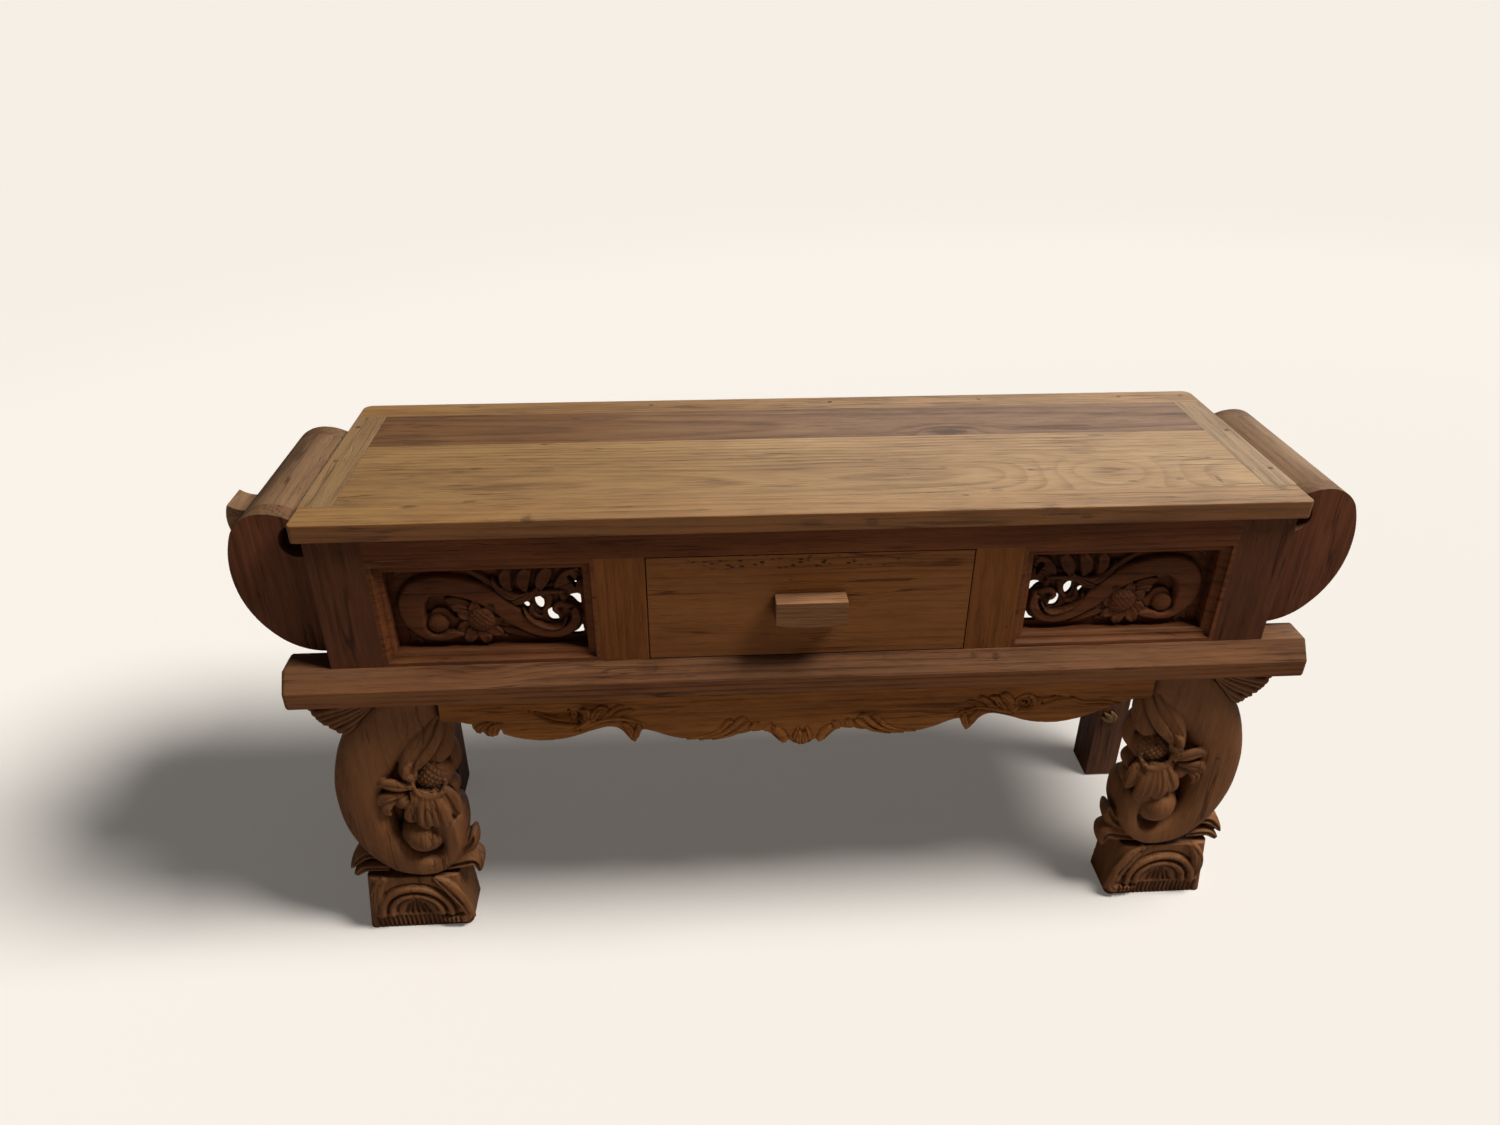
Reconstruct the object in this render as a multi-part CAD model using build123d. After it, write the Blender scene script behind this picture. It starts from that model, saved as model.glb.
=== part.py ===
from build123d import *
import math
import os

# Console altar table in solid reclaimed teak. It has a framed top, a case with one drawer between two
# pierced scroll panels, a hollow rolled wing at each end, and a base of two beams on carved scroll legs.
#
# Frame: millimetres, +Z up, +X to the viewer's right, and -Y towards the viewer, where the drawer opens.
# The origin is on the floor, at the centre of the rectangle that the four feet stand on.

# ---------------------------------------------------------------- driving sizes: top
top_length = 1400.0
top_thickness = 28.0
top_front_overhang = 10.0
top_back_overhang = 25.0
top_front_rail_width = 52.0
top_back_rail_width = 50.0
top_end_board_width = 46.0
top_corner_radius = 14.0      # rear corners of the top, seen from above
top_front_corner_radius = 6.0
top_edge_radius = 2.5
dark_plank_width = 118.0
tongue_length = 10.0          # tongues of the planks in the frame round them
tongue_thickness = 9.0
peg_radius = 4.0
peg_length = 22.0
peg_clearance = 0.05
peg_edge_distance = 11.0      # pegs of the end boards, from the ends of the top
back_peg_places = (-228.0, 72.0, 327.0, 569.0)
right_peg_places = (-95.0, 47.0)
left_peg_places = (0.0, 127.0)
batten_width = 60.0
batten_height = 22.0

# ---------------------------------------------------------------- driving sizes: case
case_height = 211.0           # beams to the underside of the top
case_length = 1377.0
case_depth = 385.0
stile_width = 77.0            # front corner stiles
stile_depth = 42.0
rear_post_width = 67.0
rear_post_depth = 42.0
rail_height = 40.0            # top rails of the case
rail_thickness = 24.0
middle_stile_width = 70.0
drawer_opening_width = 465.0
tenon_length = 24.0
tenon_thickness = 12.0
tenon_shoulder = 10.0         # from a tenon's edge to the edge of its piece
side_board_thickness = 18.0
back_board_thickness = 14.0
back_seam_height = 92.0

moulding_width = 18.0
moulding_depth = 16.0
panel_thickness = 22.0        # thickest part of a carved panel
panel_ground = 8.0            # thickness left behind the carving
panel_rim = 18.0              # plain rim behind the moulding
stem_relief = 19.0            # height of the carving above the panel's back
leaf_relief = 15.0

# ---------------------------------------------------------------- driving sizes: base
leg_height = 493.0            # floor to the underside of the beams
beam_height = 55.0
beam_length = 1520.0
beam_front_overhang = 21.0    # front beam ahead of the case
beam_depth = 63.0
beam_bevel_height = 29.0
beam_end_radius = 7.0
rear_beam_depth = 67.0
end_rail_width = 45.0

apron_thickness = 28.0
apron_height = 119.0          # beam to the tip of the centre shell
rosette_radius = 15.0
carved_groove = 4.0           # width and depth of the cut lines
shell_flutes = 7

leg_width = 183.0             # a front leg from its inner side to its outer side
leg_depth = 85.0
leg_inner_x = 544.0           # middle of the apron to the inner side of a front leg
base_offset = -4.0            # the carved legs and apron stand this far to one side of the case's centre
foot_height = 117.0
foot_width = 168.0
foot_arch_radius = 50.0
foot_arch_step = 16.0
foot_flutes = 9
foot_flute_height = 30.0
foot_taper = 22.0             # each outer side of a foot leans in by this much at its top
ear_depth = 44.0
ear_setback = 9.0             # ears behind the foot's front face
inner_bevel = 30.0            # the inner side of a leg falls away to the back by this much
scroll_ball_radius = 30.0
flower_radius = 31.0
bud_radius = 15.0
spray_setback = 28.0          # carved mass behind the flower: from the leg's front, and its thickness
spray_depth = 34.0
rear_leg_width = 60.0
rear_leg_depth = 71.0
rear_leg_inner_x = 622.0
rear_foot_chamfer = 3.0
bracket_depth = 42.0
bracket_setback = 6.0

# ---------------------------------------------------------------- driving sizes: wings
wing_setback = 36.5           # front of a wing behind the case's front
wing_depth = 302.0            # over both end boards
wing_board_thickness = 30.0
wing_reach = 118.5            # case side to the outermost point of a wing
wing_rise = 23.0              # wing above the underside of the top
wing_gap = 7.0                # wing above the beam
wing_slat_thickness = 16.0
top_slat_end_angle = 88.0           # seams between the slats: angles about the wing's centre, +X is 0
shoulder_slat_end_angle = 36.0
side_slat_end_angles = (-8.0, -52.0)
spur_depth = 50.0
spur_setback = 18.5           # spur behind the wing's front board

# ---------------------------------------------------------------- driving sizes: drawer
drawer_gap = 1.5              # round the drawer front
slide_gap = 0.3               # under, beside and behind the drawer box
drawer_front_thickness = 20.0
drawer_back_room = 75.0       # between the drawer box and the back of the case
drawer_side_thickness = 12.0
drawer_side_height = 150.0
drawer_rebate = 8.0           # sides let into the front
drawer_bottom_thickness = 7.0
drawer_bottom_groove = 5.0
drawer_bottom_rise = 10.0
runner_width = 40.0
runner_height = 26.0
guide_width = 16.0
guide_height = 30.0
kicker_width = 44.0
stop_length = 18.0
stop_height = 30.0
handle_width = 102.0
handle_height = 41.0
handle_depth = 28.0
handle_bow = 5.0
handle_tenon_width = 44.0
handle_tenon_height = 16.0

# ---------------------------------------------------------------- levels and lines that follow
beam_top = leg_height + beam_height
case_top = beam_top + case_height
table_height = case_top + top_thickness
rail_bottom = case_top - rail_height
case_half = case_length / 2
case_front = -case_depth / 2
case_back = case_depth / 2
top_half = top_length / 2
top_front = case_front - top_front_overhang
top_back = case_back + top_back_overhang
plank_half = top_half - top_end_board_width
plank_front = top_front + top_front_rail_width
plank_back = top_back - top_back_rail_width
plank_seam = plank_back - dark_plank_width
tongue_bottom = case_top + (top_thickness - tongue_thickness) / 2
tongue_top = tongue_bottom + tongue_thickness
opening_half = drawer_opening_width / 2
bay_inner = opening_half + middle_stile_width
bay_outer = case_half - stile_width
bay_width = bay_outer - bay_inner
bay_height = rail_bottom - beam_top
panel_front = case_front + moulding_depth
panel_back = panel_front + panel_thickness
ground_front = panel_back - panel_ground
beam_half = beam_length / 2
beam_front = case_front - beam_front_overhang
beam_back = beam_front + beam_depth
rear_beam_front = case_back - rear_beam_depth
leg_back = case_front + leg_depth
foot_inner_x = leg_inner_x + leg_width - foot_width
foot_outer_x = leg_inner_x + leg_width
foot_centre_x = (foot_inner_x + foot_outer_x) / 2
scroll_height = leg_height - foot_height
wing_front = case_front + wing_setback
wing_bottom = beam_top + wing_gap
wing_height = case_top + wing_rise - wing_bottom
drawer_half = opening_half - drawer_gap
drawer_floor = beam_top + slide_gap
drawer_box_front = case_front + drawer_front_thickness
drawer_box_back = case_back - drawer_back_room
drawer_centre_z = (beam_top + rail_bottom) / 2


# ---------------------------------------------------------------- tools
def block(x0, x1, y0, y1, z0, z1):
    return Pos((x0 + x1) / 2, (y0 + y1) / 2, (z0 + z1) / 2) * Box(x1 - x0, y1 - y0, z1 - z0)


# A piece sawn from an upright board: its outline in x and z, its front face at y_front.
def from_front(outline, y_front, depth):
    return extrude(Plane.XZ.offset(-y_front) * make_face(outline), amount=-depth)


# A bar along X: its section in y and z.
def along_x(section, x_start, length):
    return extrude(Plane.YZ.offset(x_start) * make_face(section), amount=length)


# A round bar along Y, such as a disc of carving or a drilled hole.
def disc(x, z, radius, y_front, depth):
    return from_front(Edge.make_circle(radius, Plane((x, z, 0))), y_front, depth)


# A pointed leaf between two points, with its widest place in the middle.
def leaf_outline(tip, root, width):
    middle_x = (tip[0] + root[0]) / 2
    middle_z = (tip[1] + root[1]) / 2
    length = math.dist(tip, root)
    side_x = -(root[1] - tip[1]) / length * width / 2
    side_z = (root[0] - tip[0]) / length * width / 2
    one_side = ThreePointArc(tip, (middle_x + side_x, middle_z + side_z), root)
    other = ThreePointArc(root, (middle_x - side_x, middle_z - side_z), tip)
    return [one_side, other]


def leaf(tip, root, width, y_front, depth):
    return from_front(leaf_outline(tip, root, width), y_front, depth)


def other_side(shape):
    return mirror(shape, about=Plane.YZ)


def both_sides(name, shape, offset_x=0):
    pieces["right_" + name] = Pos(offset_x, 0, 0) * shape
    pieces["left_" + name] = Pos(offset_x, 0, 0) * other_side(shape)


pieces = {}


# ---------------------------------------------------------------- tenons
# Each tenon is made once, added to its own piece and cut out of the piece that holds it.
def stile_tenon(x0, x1, y_middle, z_shoulder, direction):
    z0 = min(z_shoulder, z_shoulder + direction * tenon_length)
    half = tenon_thickness / 2
    inner = x0 + tenon_shoulder
    outer = x1 - tenon_shoulder
    return block(inner, outer, y_middle - half, y_middle + half, z0, z0 + tenon_length)


def rail_tenon(x_shoulder, y_middle):
    half = tenon_thickness / 2
    return block(x_shoulder, x_shoulder + tenon_length, y_middle - half, y_middle + half,
                 rail_bottom + tenon_shoulder, case_top - tenon_shoulder)


rail_middle_y = case_front + rail_thickness / 2
rear_rail_middle_y = case_back - rail_thickness / 2
stile_middle_y = case_front + stile_depth / 2
rear_post_inner = case_half - rear_post_width
rear_post_middle_y = case_back - rear_post_depth / 2

corner_stile_tenon = stile_tenon(bay_outer, case_half, stile_middle_y, beam_top, -1)
middle_stile_foot_tenon = stile_tenon(opening_half, bay_inner, stile_middle_y, beam_top, -1)
middle_stile_head_tenon = stile_tenon(opening_half, bay_inner, rail_middle_y, rail_bottom, 1)
rear_post_tenon = stile_tenon(rear_post_inner, case_half, rear_post_middle_y, beam_top, -1)
front_rail_tenon = rail_tenon(bay_outer, rail_middle_y)
rear_rail_tenon = rail_tenon(rear_post_inner, rear_rail_middle_y)
front_leg_tenon = stile_tenon(leg_inner_x, leg_inner_x + 0.42 * leg_width, stile_middle_y, leg_height, 1)
rear_leg_tenon = stile_tenon(rear_leg_inner_x, rear_leg_inner_x + rear_leg_width, rear_post_middle_y,
                             leg_height, 1)


# ---------------------------------------------------------------- top
def end_board():
    board = block(plank_half, top_half, plank_front, plank_back, case_top, table_height)
    tongue_inner = plank_half + tongue_length
    tongue = block(tongue_inner, top_half - tongue_length, plank_front - tongue_length,
                   plank_back + tongue_length, tongue_bottom, tongue_top)
    return board + tongue


def top_plank(y0, y1, front_tongue, back_tongue):
    board = block(-plank_half, plank_half, y0, y1, case_top, table_height)
    tongue = block(-plank_half - tongue_length, plank_half + tongue_length,
                   y0 - front_tongue, y1 + back_tongue, tongue_bottom, tongue_top)
    return board + tongue


def peg_places():
    row_y = top_back - top_back_rail_width * 0.4
    column_x = top_half - peg_edge_distance
    row = [(x, row_y) for x in back_peg_places]
    corners = [(column_x - peg_edge_distance, row_y)]
    right = [(column_x, y) for y in right_peg_places]
    left = [(-column_x, y) for y in left_peg_places]
    return row + corners + right + left


def peg_group(radius):
    middle_z = table_height - peg_length / 2
    return [Pos(x, y, middle_z) * Cylinder(radius, peg_length) for x, y in peg_places()]


def make_top():
    wide = top_plank(plank_front, plank_seam, tongue_length, 0)
    dark = top_plank(plank_seam, plank_back, 0, tongue_length)
    right_end = end_board()
    left_end = other_side(right_end)
    front = block(-top_half, top_half, top_front, plank_front, case_top, table_height)
    front = fillet(front.edges().filter_by(Axis.Z).group_by(Axis.Y)[0], top_front_corner_radius)
    front_edges = front.edges().filter_by(Axis.X).group_by(Axis.Y)[0]
    front = fillet(front_edges, top_edge_radius)
    back = block(-top_half, top_half, plank_back, top_back, case_top, table_height)
    back = fillet(back.edges().filter_by(Axis.Z).group_by(Axis.Y)[-1], top_corner_radius)
    holes = peg_group(peg_radius + peg_clearance)
    pieces["top_front_rail"] = front - right_end - left_end - wide
    pieces["top_back_rail"] = back - right_end - left_end - dark - holes
    pieces["top_right_end_board"] = right_end - wide - dark - holes
    pieces["top_left_end_board"] = left_end - wide - dark - holes
    pieces["top_wide_plank"] = wide
    pieces["top_dark_plank"] = dark
    pieces["top_pegs"] = Compound(children=peg_group(peg_radius))
    batten_x = (bay_inner + bay_outer) / 2
    batten = block(batten_x - batten_width / 2, batten_x + batten_width / 2,
                   case_front + rail_thickness, case_back - rail_thickness,
                   case_top - batten_height, case_top)
    pieces["top_battens"] = Compound(children=[other_side(batten), batten])


# ---------------------------------------------------------------- case
def make_case():
    stile = block(bay_outer, case_half, case_front, case_front + stile_depth, beam_top, case_top)
    stile = stile + corner_stile_tenon - front_rail_tenon
    both_sides("front_stile", stile)

    post = block(rear_post_inner, case_half, case_back - rear_post_depth, case_back, beam_top, case_top)
    post = post + rear_post_tenon - rear_rail_tenon
    both_sides("rear_post", post)

    middle = block(opening_half, bay_inner, case_front, case_front + stile_depth, beam_top, rail_bottom)
    middle = middle + middle_stile_foot_tenon + middle_stile_head_tenon
    both_sides("middle_stile", middle)

    front_rail = block(-bay_outer, bay_outer, case_front, case_front + rail_thickness,
                       rail_bottom, case_top)
    front_rail = front_rail + front_rail_tenon + other_side(front_rail_tenon)
    front_rail = front_rail - middle_stile_head_tenon - other_side(middle_stile_head_tenon)
    pieces["front_top_rail"] = front_rail

    rear_rail = block(-rear_post_inner, rear_post_inner, case_back - rail_thickness, case_back,
                      rail_bottom, case_top)
    pieces["rear_top_rail"] = rear_rail + rear_rail_tenon + other_side(rear_rail_tenon)

    side = block(case_half - side_board_thickness, case_half, case_front + stile_depth,
                 case_back - rear_post_depth, beam_top, case_top)
    both_sides("side_board", side)

    seam_z = beam_top + back_seam_height
    board_front = case_back - back_board_thickness
    pieces["back_lower_board"] = block(-rear_post_inner, rear_post_inner, board_front, case_back,
                                       beam_top, seam_z)
    pieces["back_upper_board"] = block(-rear_post_inner, rear_post_inner, board_front, case_back,
                                       seam_z, rail_bottom)


# One mitred length of the panel moulding, along X: front face at y 0, outer edge at z 0.
def moulding_bar(length):
    cove_y = 0.45 * moulding_depth
    cove_z = 0.78 * moulding_width
    flat_z = 0.34 * moulding_width
    section = [
        Line((0, 0), (0, flat_z)),
        ThreePointArc((0, flat_z), (0.62 * cove_y, 0.42 * moulding_width), (cove_y, cove_z)),
        Line((cove_y, cove_z), (0.6 * moulding_depth, moulding_width)),
        Line((0.6 * moulding_depth, moulding_width), (moulding_depth, moulding_width)),
        Line((moulding_depth, moulding_width), (moulding_depth, 0)),
        Line((moulding_depth, 0), (0, 0)),
    ]
    mitres = Polyline((0, 0), (length, 0), (length - moulding_width, moulding_width),
                      (moulding_width, moulding_width), (0, 0))
    return along_x(section, 0, length) & from_front(mitres, 0, moulding_depth)


def make_moulding():
    across = moulding_bar(bay_width)
    upright = moulding_bar(bay_height)
    bars = [
        Pos(bay_inner, case_front, beam_top) * across,
        Pos(bay_outer, case_front, beam_top) * Rot(0, -90, 0) * upright,
        Pos(bay_outer, case_front, rail_bottom) * Rot(0, 180, 0) * across,
        Pos(bay_inner, case_front, rail_bottom) * Rot(0, 90, 0) * upright,
    ]
    pieces["right_panel_moulding"] = Compound(children=bars)
    pieces["left_panel_moulding"] = Compound(children=[other_side(bar) for bar in bars])


# ---------------------------------------------------------------- carved panels
# A place on a panel, as shares of the bay: across from the table's end, and up from the beam.
def panel_point(across, up):
    return (bay_outer - across * bay_width, beam_top + up * bay_height)


def panel_line(*shares):
    return Spline([panel_point(across, up) for across, up in shares])


# The S scroll: a broad stem that starts round a ball at the table's end, sweeps down towards the
# drawer and ends in a smaller open curl.
def scroll_stem():
    back_of_volute = panel_line((0.434, 0.85), (0.285, 0.85), (0.184, 0.78), (0.112, 0.64),
                                (0.092, 0.46), (0.129, 0.275), (0.205, 0.19), (0.29, 0.193),
                                (0.352, 0.29))
    tail = Line(back_of_volute @ 1, panel_point(0.335, 0.36))
    inside = panel_line((0.335, 0.36), (0.305, 0.265), (0.26, 0.235), (0.21, 0.27), (0.186, 0.375),
                        (0.205, 0.49), (0.252, 0.575), (0.317, 0.6), (0.375, 0.596), (0.437, 0.556),
                        (0.566, 0.339), (0.64, 0.25), (0.709, 0.195), (0.786, 0.175), (0.861, 0.216),
                        (0.911, 0.32), (0.915, 0.42), (0.874, 0.497), (0.822, 0.49))
    inside_curl = panel_line((0.822, 0.49), (0.85, 0.433), (0.861, 0.363), (0.838, 0.295),
                             (0.79, 0.272), (0.735, 0.304), (0.65, 0.456), (0.592, 0.544),
                             (0.557, 0.649), (0.505, 0.766), (0.434, 0.85))
    return from_front([back_of_volute, tail, inside, inside_curl], panel_back - stem_relief, stem_relief)


def panel_leaf(tip, root, width):
    return leaf(panel_point(*tip), panel_point(*root), width, panel_back - leaf_relief, leaf_relief)


def panel_flower():
    centre = panel_point(0.45, 0.33)
    petal_length = 0.165 * bay_height
    core = disc(centre[0], centre[1], 0.45 * petal_length, panel_back - stem_relief, stem_relief)
    flower = core
    for turn in range(6):
        angle = math.radians(60 * turn + 30)
        tip = (centre[0] + petal_length * math.cos(angle), centre[1] + petal_length * math.sin(angle))
        flower = flower + leaf(tip, centre, 0.75 * petal_length, panel_back - leaf_relief, leaf_relief)
    return flower


def panel_holes():
    ball = panel_point(0.275, 0.352)
    eye = panel_point(0.272, 0.445)
    depth = panel_thickness
    crescent = disc(eye[0], eye[1], 0.11 * bay_height, panel_front, depth)
    crescent = crescent - disc(ball[0], ball[1], 0.1 * bay_height, panel_front, depth)
    holes = [crescent]
    for across, up, size in ((0.738, 0.54, 0.05), (0.795, 0.4, 0.055), (0.893, 0.56, 0.05),
                             (0.92, 0.215, 0.03), (0.69, 0.47, 0.024)):
        place = panel_point(across, up)
        holes.append(disc(place[0], place[1], size * bay_height, panel_front, depth))
    return holes


def carved_panel():
    whole = block(bay_inner, bay_outer, panel_front, panel_back, beam_top, rail_bottom)
    sunk = block(bay_inner + panel_rim, bay_outer - panel_rim, panel_front, ground_front,
                 beam_top + panel_rim, rail_bottom - panel_rim)
    panel = whole - sunk - panel_holes()
    ball = panel_point(0.275, 0.352)
    ball_radius = 0.092 * bay_height
    ball_disc = disc(ball[0], ball[1], ball_radius, panel_back - stem_relief, stem_relief)
    relief = scroll_stem() + ball_disc + panel_flower()
    relief = relief + panel_leaf((0.94, 0.77), (0.7, 0.6), 0.15 * bay_height)
    relief = relief + panel_leaf((0.88, 0.87), (0.62, 0.6), 0.15 * bay_height)
    relief = relief + panel_leaf((0.72, 0.87), (0.56, 0.62), 0.13 * bay_height)
    relief = relief + panel_leaf((0.55, 0.86), (0.6, 0.58), 0.1 * bay_height)
    relief = relief + panel_leaf((0.3, 0.56), (0.44, 0.4), 0.1 * bay_height)
    return panel + relief


# ---------------------------------------------------------------- base
def make_beams():
    section = Polyline((beam_back, beam_top), (case_front, beam_top),
                       (beam_front, beam_top - beam_bevel_height), (beam_front, leg_height),
                       (beam_back, leg_height), (beam_back, beam_top))
    beam = along_x(section, -beam_half, beam_length)
    end_edges = beam.edges().filter_by(Axis.X, reverse=True)
    beam = fillet(end_edges, beam_end_radius)
    for tenon in (corner_stile_tenon, middle_stile_foot_tenon):
        beam = beam - tenon - other_side(tenon)
    beam = beam - Pos(base_offset, 0, 0) * front_leg_tenon
    pieces["front_beam"] = beam - Pos(base_offset, 0, 0) * other_side(front_leg_tenon)

    rear = block(-case_half, case_half, rear_beam_front, case_back, leg_height, beam_top)
    rear = rear - rear_post_tenon - other_side(rear_post_tenon)
    rear = rear - Pos(base_offset, 0, 0) * rear_leg_tenon
    pieces["rear_beam"] = rear - Pos(base_offset, 0, 0) * other_side(rear_leg_tenon)

    rail = block(case_half - end_rail_width, case_half, beam_back, rear_beam_front, leg_height, beam_top)
    both_sides("end_rail", rail)


# A place on the apron: share of the half span from the centre, and share of its height below the beam.
def apron_point(across, down):
    return (across * leg_inner_x, leg_height - down * apron_height)


# The lower edge from the right leg to the centre: two bellies, a pointed leaf between them, and the
# lobes of the centre shell.
def apron_lower_edge():
    outer_belly = Spline([apron_point(*share) for share in
                          ((1.0, 0.4), (0.9, 0.52), (0.81, 0.68), (0.72, 0.748), (0.634, 0.7),
                           (0.546, 0.571), (0.505, 0.61))])
    leaf_out = ThreePointArc(apron_point(0.505, 0.61), apron_point(0.492, 0.75), apron_point(0.474, 0.84))
    leaf_in = ThreePointArc(apron_point(0.474, 0.84), apron_point(0.456, 0.72), apron_point(0.449, 0.61))
    inner_belly = Spline([apron_point(*share) for share in
                          ((0.449, 0.61), (0.377, 0.75), (0.272, 0.84), (0.175, 0.77), (0.1, 0.755))])
    lobe = ThreePointArc(apron_point(0.1, 0.755), apron_point(0.068, 0.925), apron_point(0.042, 0.88))
    shell = ThreePointArc(apron_point(0.042, 0.88), apron_point(0.024, 0.965), apron_point(0, 1))
    return [outer_belly, leaf_out, leaf_in, inner_belly, lobe, shell]


def apron_carving(apron):
    rosette = apron_point(0.62, 0.38)
    for turn_x in (-1, 1):
        for radius in (rosette_radius, 0.55 * rosette_radius):
            ring = disc(turn_x * rosette[0], rosette[1], radius, case_front, carved_groove)
            ring = ring - disc(turn_x * rosette[0], rosette[1], radius - carved_groove, case_front,
                               carved_groove)
            apron = apron - ring
        for share in (0.24, 0.2, 0.165):
            place = apron_point(share, 0.66)
            groove = leaf((turn_x * (place[0] + 22), place[1] - 18), (turn_x * place[0], place[1] + 8),
                          carved_groove, case_front, carved_groove)
            apron = apron - groove
    for flute in range(shell_flutes):
        swing = math.radians((flute - (shell_flutes - 1) / 2) * 14)
        tip = (32 * math.sin(swing), leg_height - 0.93 * apron_height + 14 * (1 - math.cos(swing)))
        root = (12 * math.sin(swing), leg_height - 0.68 * apron_height)
        apron = apron - leaf(tip, root, carved_groove, case_front, carved_groove)
    return apron


def make_apron():
    right = apron_lower_edge()
    left = [mirror(edge, about=Plane.YZ) for edge in right]
    top = Line((-leg_inner_x, leg_height), (leg_inner_x, leg_height))
    right_end = Line((leg_inner_x, leg_height), apron_point(1.0, 0.4))
    left_end = Line((-leg_inner_x, leg_height), (-leg_inner_x, apron_point(1.0, 0.4)[1]))
    apron = from_front([top, right_end, left_end] + right + left, case_front, apron_thickness)
    tip = apron_point(0.845, 0.67)
    root = apron_point(0.93, 0.42)
    corner_leaf = leaf((-tip[0], tip[1]), (-root[0], root[1]), 20, case_front, apron_thickness)
    pieces["front_apron"] = Pos(base_offset, 0, 0) * apron_carving(apron + corner_leaf)


# A place on a front leg above its foot: share of the leg's width from its inner side, share of height.
def leg_point(across, up):
    return (leg_inner_x + across * leg_width, foot_height + up * scroll_height)


# The elephant-trunk scroll: down the outer side in one bow, under, and in round the ball.
def leg_scroll():
    head = Line(leg_point(0, 0.878), leg_point(0, 1))
    top = Line(leg_point(0, 1), leg_point(0.42, 1))
    outside = Spline([leg_point(*share) for share in
                      ((0.42, 1.0), (0.77, 0.84), (0.93, 0.68), (1.0, 0.45), (0.985, 0.314),
                       (0.913, 0.186), (0.809, 0.096), (0.645, 0.025), (0.432, 0.0), (0.25, 0.02),
                       (0.098, 0.077), (0.005, 0.162), (-0.02, 0.253), (0.01, 0.335),
                       (0.16, 0.365))])
    ball = leg_point(0.328, 0.239)
    onto_ball = Line(outside @ 1, (ball[0], ball[1] + scroll_ball_radius))
    round_ball = ThreePointArc((ball[0], ball[1] + scroll_ball_radius),
                               (ball[0] + scroll_ball_radius, ball[1]),
                               (ball[0], ball[1] - scroll_ball_radius))
    groove_end = ThreePointArc(round_ball @ 1, leg_point(0.222, 0.147), leg_point(0.25, 0.12))
    inside = Spline([leg_point(*share) for share in
                     ((0.25, 0.12), (0.366, 0.127), (0.475, 0.178), (0.552, 0.261), (0.585, 0.354),
                      (0.579, 0.46), (0.514, 0.561), (0.383, 0.657), (0.213, 0.766), (0.0, 0.878))])
    lines = [head, top, outside, onto_ball, round_ball, groove_end, inside]
    return from_front(lines, case_front, leg_depth)


# The carved mass that fills the scroll, set back behind the flower, with leaf lobes on its inner side.
def spray_ground():
    inside = Spline([leg_point(*share) for share in
                     ((0.16, 0.34), (0.45, 0.26), (0.6, 0.3), (0.62, 0.4), (0.56, 0.55), (0.47, 0.67),
                      (0.36, 0.72))])
    lobe_ends = [(0.36, 0.72), (0.05, 0.57), (0.07, 0.42), (0.1, 0.31), (0.16, 0.34)]
    lobe_bulges = [(0.15, 0.67), (0.01, 0.49), (0.03, 0.36), (0.13, 0.315)]
    lobes = [ThreePointArc(leg_point(*start), leg_point(*bulge), leg_point(*end))
             for start, bulge, end in zip(lobe_ends, lobe_bulges, lobe_ends[1:])]
    return from_front([inside] + lobes, case_front + spray_setback, spray_depth)


def leg_leaf(tip, root, width, setback, depth):
    return leaf(leg_point(*tip), leg_point(*root), width, case_front + setback, depth)


def flower_spray():
    flower_x, flower_z = leg_point(0.195, 0.552)
    bud_x, bud_z = leg_point(0.42, 0.44)
    spray = spray_ground()
    spray = spray + Pos(flower_x, case_front + flower_radius + 5, flower_z) * Sphere(flower_radius)
    spray = spray + Pos(bud_x, case_front + spray_setback, bud_z) * Sphere(bud_radius)
    spray = spray + leg_leaf((0.1, 0.78), (0.34, 0.62), 34, 14, 40)
    spray = spray + leg_leaf((0.6, 0.55), (0.26, 0.5), 20, 10, 40)
    spray = spray + leg_leaf((0.58, 0.43), (0.34, 0.47), 16, 16, 30)
    for tip in ((0.39, 0.35), (0.26, 0.3), (0.12, 0.31), (0.02, 0.38)):
        spray = spray + leg_leaf(tip, (0.19, 0.5), 28, 8, 40)
    return spray


# The foot: a block with a fluted face under two arches, and a leaf ear on each side under the scroll.
def leg_foot():
    sides = Polyline((foot_inner_x, 0), (foot_outer_x, 0), (foot_outer_x - foot_taper, foot_height),
                     (foot_inner_x + foot_taper / 2, foot_height), (foot_inner_x, 0))
    foot = from_front(sides, case_front, leg_depth)
    ear_front = case_front + ear_setback
    outer_low = leaf(leg_point(1.12, -0.045), leg_point(0.7, 0.03), 32, ear_front, ear_depth)
    outer_high = leaf(leg_point(1.06, 0.06), leg_point(0.72, 0.06), 32, ear_front, ear_depth)
    inner_high = leaf(leg_point(-0.09, 0.01), leg_point(0.3, 0.02), 42, ear_front, ear_depth)
    inner_low = leaf(leg_point(-0.04, -0.11), leg_point(0.3, 0.0), 44, ear_front, ear_depth)
    foot = foot + outer_low + outer_high + inner_high + inner_low
    for radius in (foot_arch_radius, foot_arch_radius - foot_arch_step):
        arch = disc(foot_centre_x, foot_flute_height, radius, case_front, carved_groove)
        arch = arch - disc(foot_centre_x, foot_flute_height, radius - carved_groove, case_front,
                           carved_groove)
        above = block(foot_inner_x, foot_outer_x, case_front, case_front + carved_groove,
                      foot_flute_height, foot_height)
        foot = foot - (arch & above)
    pitch = 2 * foot_arch_radius / (foot_flutes - 1)
    for flute in range(foot_flutes):
        x = foot_centre_x - foot_arch_radius + flute * pitch
        foot = foot - leaf((x, 0.12 * foot_flute_height), (x, 0.85 * foot_flute_height), carved_groove,
                           case_front, carved_groove)
    return foot


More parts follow.
